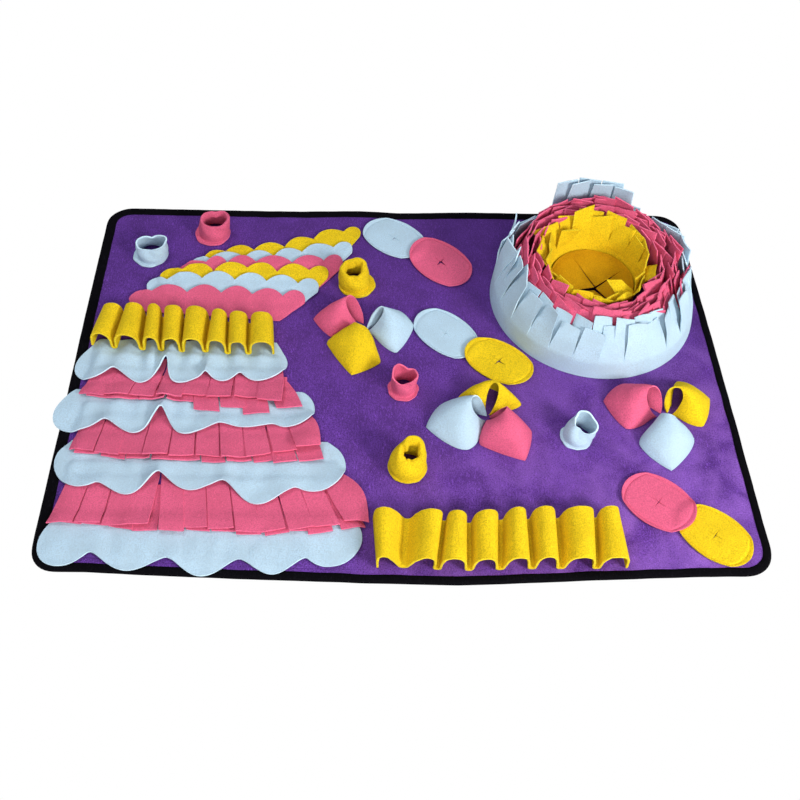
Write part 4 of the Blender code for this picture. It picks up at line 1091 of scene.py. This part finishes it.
# Each ring: colour, sides, first corner, the nodes it stands for, its section from the foot up
# (radius and height; the unslit stretch first), how many points of the section are unslit, how
# far the back leans out, how much higher it is, and how unruly the strips are.
BOWL_RINGS = {
    "bowl_collar_outer": (
        "blue", 26, 0.0, ("bowl_collar_wall", "bowl_collar_fringe_outer"),
        ((117.5, MAT_TOP), (117.0, 12.0), (116.0, 26.0), (110.5, 48.0), (101.5, 66.0)),
        3, 7.0, 0.0, 1.0),
    "bowl_collar_inner": (
        "blue", 26, 0.5, ("bowl_collar_fringe_inner",),
        ((113.6, 14.0), (113.2, 22.0), (106.8, 47.0), (96.5, 67.0)),
        2, 8.0, 0.0, 1.1),
    "bowl_pink_1": (
        "pink", 22, 0.0, ("bowl_pink_wall_outer", "bowl_pink_fringe_1"),
        ((107.0, MAT_TOP), (103.5, 36.0), (102.0, 40.0), (89.5, 67.0)),
        3, 7.5, 6.0, 1.2),
    "bowl_pink_2": (
        "pink", 22, 0.5, ("bowl_pink_fringe_2",),
        ((101.1, 30.0), (100.4, 34.0), (85.5, 70.0)),
        2, 7.5, 6.0, 1.5),
    "bowl_pink_between": (
        "pink", 21, 0.25, (),
        ((97.5, 31.0), (96.0, 35.0), (82.0, 70.0)),
        2, 7.5, 6.0, 1.9),
    "bowl_pink_3": (
        "pink", 20, 0.0, ("bowl_pink_wall_inner", "bowl_pink_fringe_3"),
        ((79.0, MAT_TOP), (80.0, 36.0), (80.0, 40.0), (78.0, 68.0)),
        3, 7.0, 6.0, 1.6),
    "bowl_pink_4": (
        "pink", 20, 0.5, ("bowl_pink_fringe_4",),
        ((76.9, 30.0), (76.9, 34.0), (69.0, 69.0)),
        2, 7.0, 6.0, 1.5),
    "bowl_pink_5": (
        "pink", 19, 0.3, (),
        ((72.4, 31.0), (72.4, 35.0), (66.5, 67.0)),
        2, 7.0, 6.0, 1.5),
    "bowl_yellow_1": (
        "yellow", 14, 0.0, ("bowl_yellow_wall", "bowl_yellow_fringe_1"),
        ((50.0, MAT_TOP), (50.0, 34.0), (55.0, 50.0), (56.4, 54.0), (60.5, 68.0)),
        4, 6.0, 10.0, 1.6),
    "bowl_yellow_2": (
        "yellow", 14, 0.5, ("bowl_yellow_fringe_2",),
        ((51.0, 42.0), (51.6, 46.0), (55.0, 66.0)),
        2, 5.0, 10.0, 1.6),
}
# Strips that stand apart from their ring: direction in degrees, how far the tip leans out, how
# much longer it is, how far its left edge turns out and its right edge in, how far it slides.
BOWL_ODD = {
    "bowl_collar_outer": ((20, 6, 3, 3, 0), (34, 6, 0, -4, 2), (48, 4, -3, 2, 0), (-5, 3, -4, 4, 0),
        (-33, 2, 2, 3, 1), (-47, 1, -2, -3, 0), (-76, 2, 4, 3, 0), (-104, 4, -3, 4, 2),
        (-118, 2, -7, 3, 2), (-132, 0, 1, 3, -2), (-159, -1, 5, 4, 0), (-173, -5, 9, 3, 0),
        (173, -2, 8, -4, 0), (160, 3, 2, 4, 0), (146, 6, 1, -3, 0), (131, 3, -3, 4, 0)),
    "bowl_collar_inner": ((14, 8, 5, 2, 0), (27, 9, 4, -3, 0), (41, 7, 1, 2, 0), (-83, 1, 5, 3, 0),
        (-97, -1, 2, -3, 0), (-111, -1, -2, 3, 0), (-125, -2, -2, 3, 0), (-14, 5, 3, 3, 0),
        (-166, -4, 6, 3, 0), (152, 6, 4, 2, 0), (166, 4, 5, -3, 0), (180, 0, 6, 3, 0)),
    "bowl_pink_1": ((-8, 12, -3, 3, 0), (-25, 6, 1, -4, 0), (-57, 6, 2, 4, 0), (75, 1, 3, 2, 0),
        (-74, -2, 0, 0, 0), (-90, -3, 0, 0, 0), (-106, -4, 2, 1, 0), (-122, -3, 0, 0, 0),
        (-139, -3, 0, 0, 0), (150, 2, -2, 4, 0)),
    "bowl_pink_2": ((-65, 3, 2, -5, 2), (-98, 0, 4, 4, 0), (-122, -2, 1, 3, 0), (10, 7, 3, -3, 0),
        (66, 0, 3, 0, 0)),
    "bowl_pink_between": ((84, 2, 3, 2, 0), (140, -4, 1, 5, 0), (-50, 4, 2, 4, 0), (15, 6, 1, 3, 0)),
    "bowl_pink_3": ((148, -4, 3, 5, 0), (100, -1, 2, 3, 0), (0, 3, -2, 4, 0)),
    "bowl_pink_4": ((123, -4, 1, 3, 0), (-80, 2, 2, 3, 0), (-33, -3, 2, 4, 0)),
    "bowl_pink_5": ((-20, -3, 2, 4, 0), (-42, -3, 0, -4, 0), (20, -2, 3, 4, 0), (170, 7, -16, 0, 0),
        (185, 7, -16, 0, 0), (200, 6, -14, 0, 0), (152, 6, -14, 0, 0), (136, 4, -10, 0, 0),
        (219, 4, -8, 0, 0)),
    "bowl_yellow_1": ((90, 0, 2, 1, 0), (167, 7, 2, 2, 0), (-13, 6, 1, 2, 0), (141, 4, -1, 5, 0),
        (-90, 1, 0, 3, 0), (64, 1, 1, 2, 0)),
    "bowl_yellow_2": ((103, 2, 10, 1, 0), (128, -10, 1, 5, -3), (-51, -21, 1, 5, -5),
        (26, 1, 2, 3, 0), (180, 2, 2, 3, 0), (-103, 1, 2, 3, 0)),
}
# How near in degrees a strip has to be to a direction in the table to be the one meant.
STRIP_HITS = 7.0
# The most that the strips of a calm ring differ in height, lean, twist, slide and slope of the tip.
STRIP_UNRULY = (1.8, 1.8, 2.4, 1.4, 1.2)
# How far a tip's edges curl out, and how far the slits open beside it.
STRIP_CURL = (-0.8, 1.2)
STRIP_GAPE = (0.3, 1.0)
# How wide a slit is at its foot, and how many rows of the grid it is long.
BOWL_SLIT = 1.2
BOWL_STRIP_ROWS = 11


def section_points(section, unslit, count):
    """The section as a smooth line: the unslit points, then count points up to the tips."""
    low = resample(section[:unslit], 2 + 3 * (unslit - 1))
    high = rounded_line(section[unslit - 1:], count + 1, 6.0)
    return np.vstack([low, high[1:]]), len(low)


def turned(degrees):
    return (degrees + 180) % 360 - 180


def bowl_ring(name, seed):
    colour, sides, first, nodes, section, unslit, back_out, back_up, unruly = BOWL_RINGS[name]
    rng = random.Random(seed)
    line, foot_rows = section_points(section, unslit, BOWL_STRIP_ROWS)
    radius, height = line.T
    centre = np.array(BOWL_CENTRE) + (WELL_SHIFT if colour == "yellow" else (0.0, 0.0))
    # How far up the slit strips each row is, and how much of the leaning it has.
    share = np.maximum(0.0, np.arange(1 - foot_rows, len(line) - foot_rows + 1) / BOWL_STRIP_ROWS)
    bend = share ** 1.3
    across = np.linspace(0, 1, STRIP_COLUMNS)[:, None]
    side = 2 * across - 1
    middle = []
    for strip in range(sides):
        centre_angle = 2 * math.pi * (strip + 0.5 + first) / sides
        direction = math.degrees(centre_angle)
        backward = math.sin(centre_angle)
        taller, lean, twist, sway, slope = (rng.uniform(-most, most) * unruly
                                            for most in STRIP_UNRULY)
        taller += back_up * backward
        curl = rng.uniform(*STRIP_CURL)
        gape = rng.uniform(*STRIP_GAPE) * (2.2 if colour == "yellow" else 1.3)
        for at, more_lean, more_length, more_twist, more_sway in BOWL_ODD[name]:
            if abs(turned(direction - at)) < STRIP_HITS:
                lean += more_lean
                taller += more_length
                twist += more_twist
                sway += more_sway
        if colour == "blue":
            off_tuft = abs(turned(direction - TUFT_DIRECTION))
            tuft = 1 - smooth(ramp(off_tuft, TUFT_HALF_WIDTH - 3, TUFT_HALF_WIDTH + 3))
            behind = smooth(ramp(backward, 0.55, 0.8)) * (1 - tuft)
            in_front = smooth(ramp(-backward, 0.45, 0.85)) * (0.35 if name.endswith("inner") else 1.0)
            taller += TUFT_RISE * tuft - COLLAR_BACK_LOWER * behind - COLLAR_FRONT_LOWER * in_front
            lean += TUFT_LEAN * tuft
        corner = 2 * math.pi * (strip + across + first) / sides
        flatten = math.cos(math.pi / sides) / np.cos(corner - centre_angle)
        facet = 1.0 + (flatten - 1.0) * np.minimum(1.0, share * 2.5)
        slit = (BOWL_SLIT / 2 + gape * share) * -side * np.minimum(1.0, share * 1.6)
        # The bowl is a little pressed in on its right side.
        pressed = np.maximum(0.0, np.cos(corner)) ** 2
        inward = 0.05 * pressed * ramp(height, 5, 40) + 0.012 * pressed
        r = (radius - FELT / 2) * (1 - inward * ramp(radius, 60, 100))
        r = (r + (back_out * backward + lean) * bend) * facet
        r += twist * side * bend + curl * side ** 2 * bend
        angle = corner + (sway * bend + slit) / radius
        middle.append(grid(centre[0] + r * np.cos(angle), centre[1] + r * np.sin(angle),
                           height + (taller + slope * side) * share))
    filled = np.ones((sides * STRIP_COLUMNS, len(line) - 1), dtype=bool)
    filled[STRIP_COLUMNS - 1::STRIP_COLUMNS, foot_rows - 1:] = False
    felt_sheet(name, np.concatenate(middle), FELT, colour, nodes=nodes, filled=filled,
               wrap=True)


FLOOR_RADIUS = 46.8
FLOOR_HEIGHT = 33.0
FLOOR_CUT = (78.0, 84.0)
FLOOR_CUT_TURN = 26.0
FLOOR_CUT_WIDTH = 1.7
# The X cut's middle lies in front of the disc's.
FLOOR_CUT_SHIFT = (1.0, -14.0)
FLOOR_SEAM = 4.0


def bowl_floor():
    x, y = np.array(BOWL_CENTRE) + WELL_SHIFT
    px, py, filled, lift, edge_share = disc_middle(
        x, y, FLOOR_RADIUS, FLOOR_RADIUS, 0.0, FLOOR_CUT, math.radians(FLOOR_CUT_TURN),
        FLOOR_CUT_WIDTH, 0.5, FLOOR_LIPS)
    off_edge = np.clip(1 - np.hypot(px - x, py - y) / FLOOR_RADIUS, 0, 1) ** 0.8
    px += FLOOR_CUT_SHIFT[0] * off_edge
    py += FLOOR_CUT_SHIFT[1] * off_edge
    z = FLOOR_HEIGHT + FELT / 2 + 0.4 * waver(px, py, 22.0, 2.0) + lift
    inset = (1 - edge_share) * FLOOR_RADIUS
    z -= 0.45 * np.exp(-(inset - FLOOR_SEAM) ** 2)
    # The floor gets the darker yellow as painted shade in the well.
    felt_sheet("bowl_floor", grid(px, py, z), FELT, "painted_shade_yellow",
               filled=filled)
    ring = circle(x, y, FLOOR_HEIGHT + FELT + 0.1, FLOOR_RADIUS - FLOOR_SEAM, 90)
    stitches("bowl_floor_thread", ring, "painted_shade_yellow", step=3.2, length=2.1, radius=0.28)


# ---------------- stage
FLOOR_HALF = 3.0
FLOOR_LEVEL = -0.0005
# name, place, target, size, power, colour
LAMPS = (
    ("key_right", (1.0, -0.95, 0.75), (0.16, -0.06, 0.0), 0.45, 20.0, (1.0, 0.995, 0.985)),
    ("front", (-0.1, -1.3, 0.9), (-0.05, 0.0, 0.0), 0.6, 9.0, (1.0, 1.0, 1.0)),
    ("top_left", (-0.5, 0.4, 1.4), (-0.1, 0.0, 0.0), 0.6, 6.0, (0.98, 0.99, 1.0)),
)
SKY_COLOUR = (0.85, 0.965, 1.13, 1.0)
SKY_STRENGTH = 0.345


def glowing_material(name):
    """A white backdrop that shows no shadows."""
    material = bpy.data.materials.new(name)
    material.use_nodes = True
    inputs = material.node_tree.nodes["Principled BSDF"].inputs
    inputs["Base Color"].default_value = (0.0, 0.0, 0.0, 1.0)
    inputs["Specular IOR Level"].default_value = 0.0
    inputs["Emission Color"].default_value = (1.0, 1.0, 1.0, 1.0)
    inputs["Emission Strength"].default_value = 1.0
    return material


def floor():
    mesh = bpy.data.meshes.new("studio_floor")
    corners = [(x * FLOOR_HALF, y * FLOOR_HALF, FLOOR_LEVEL)
               for x, y in ((-1, -1), (1, -1), (1, 1), (-1, 1))]
    mesh.from_pydata(corners, [], [(0, 1, 2, 3)])
    mesh.materials.append(glowing_material("white_floor"))
    add_object("studio_floor", mesh)


def lights():
    world = bpy.data.worlds.new("studio")
    world.use_nodes = True
    background = world.node_tree.nodes["Background"]
    background.inputs["Color"].default_value = SKY_COLOUR
    background.inputs["Strength"].default_value = SKY_STRENGTH
    bpy.context.scene.world = world
    for name, place, target, size, power, colour in LAMPS:
        light = bpy.data.lights.new(name, "AREA")
        light.shape = "DISK"
        light.size = size
        light.energy = power
        light.color = colour
        lamp = add_object(name, light)
        lamp.location = place
        lamp.rotation_euler = (Vector(target) - Vector(place)).to_track_quat("-Z", "Y").to_euler()


# The camera stands in front of the mat and looks down on it.
VIEW_TURN = math.radians(-5.08)
VIEW_RISE = math.radians(52.15)
VIEW_ROLL = math.radians(4.61)
VIEW_TARGET = Vector((-0.0049, -0.0392, 0.0))
VIEW_DISTANCE = 1.0283
FOCAL_PIXELS = 973.3
FRAME_PIXELS = 800
SENSOR_WIDTH = 36.0


def camera():
    back = Vector((math.sin(VIEW_TURN) * math.cos(VIEW_RISE),
                   -math.cos(VIEW_TURN) * math.cos(VIEW_RISE), math.sin(VIEW_RISE)))
    right = (-back).cross(Vector((0, 0, 1))).normalized()
    up = right.cross(-back)
    rolled_right = right * math.cos(VIEW_ROLL) + up * math.sin(VIEW_ROLL)
    rolled_up = up * math.cos(VIEW_ROLL) - right * math.sin(VIEW_ROLL)
    place = VIEW_TARGET + back * VIEW_DISTANCE
    data = bpy.data.cameras.new("view")
    data.sensor_width = SENSOR_WIDTH
    data.lens = FOCAL_PIXELS / FRAME_PIXELS * SENSOR_WIDTH
    data.clip_start = 0.02
    viewer = add_object("view", data)
    columns = [(*way, 0) for way in (rolled_right, rolled_up, back)] + [(*place, 1)]
    viewer.matrix_world = Matrix(columns).transposed()
    bpy.context.scene.camera = viewer


# ---------------- the whole
camera()
floor()
lights()
base_mat()
edge_binding()
stack()
fan_rows()
loop_strip("loop_strip_upper", UPPER_FEET, UPPER_ARCHES, UPPER_LEANS, UPPER_NARROW, foot_half=1.2,
           square=0.42, more=(0, 0), front_base=MAT_TOP + 3.6, seed=3)
loop_strip("loop_strip_lower", LOWER_FEET, LOWER_ARCHES, LOWER_LEANS, LOWER_NARROW, foot_half=1.9,
           square=0.38, more=(6, 7), front_base=MAT_TOP, seed=5)
for row in CUPS:
    cup(*row)
for row in PETALS:
    petal(*row)
oval_reliefs = {}
for row in OVALS:
    oval(*row, oval_reliefs)
for seed, name in enumerate(BOWL_RINGS, 70):
    bowl_ring(name, seed)
bowl_floor()
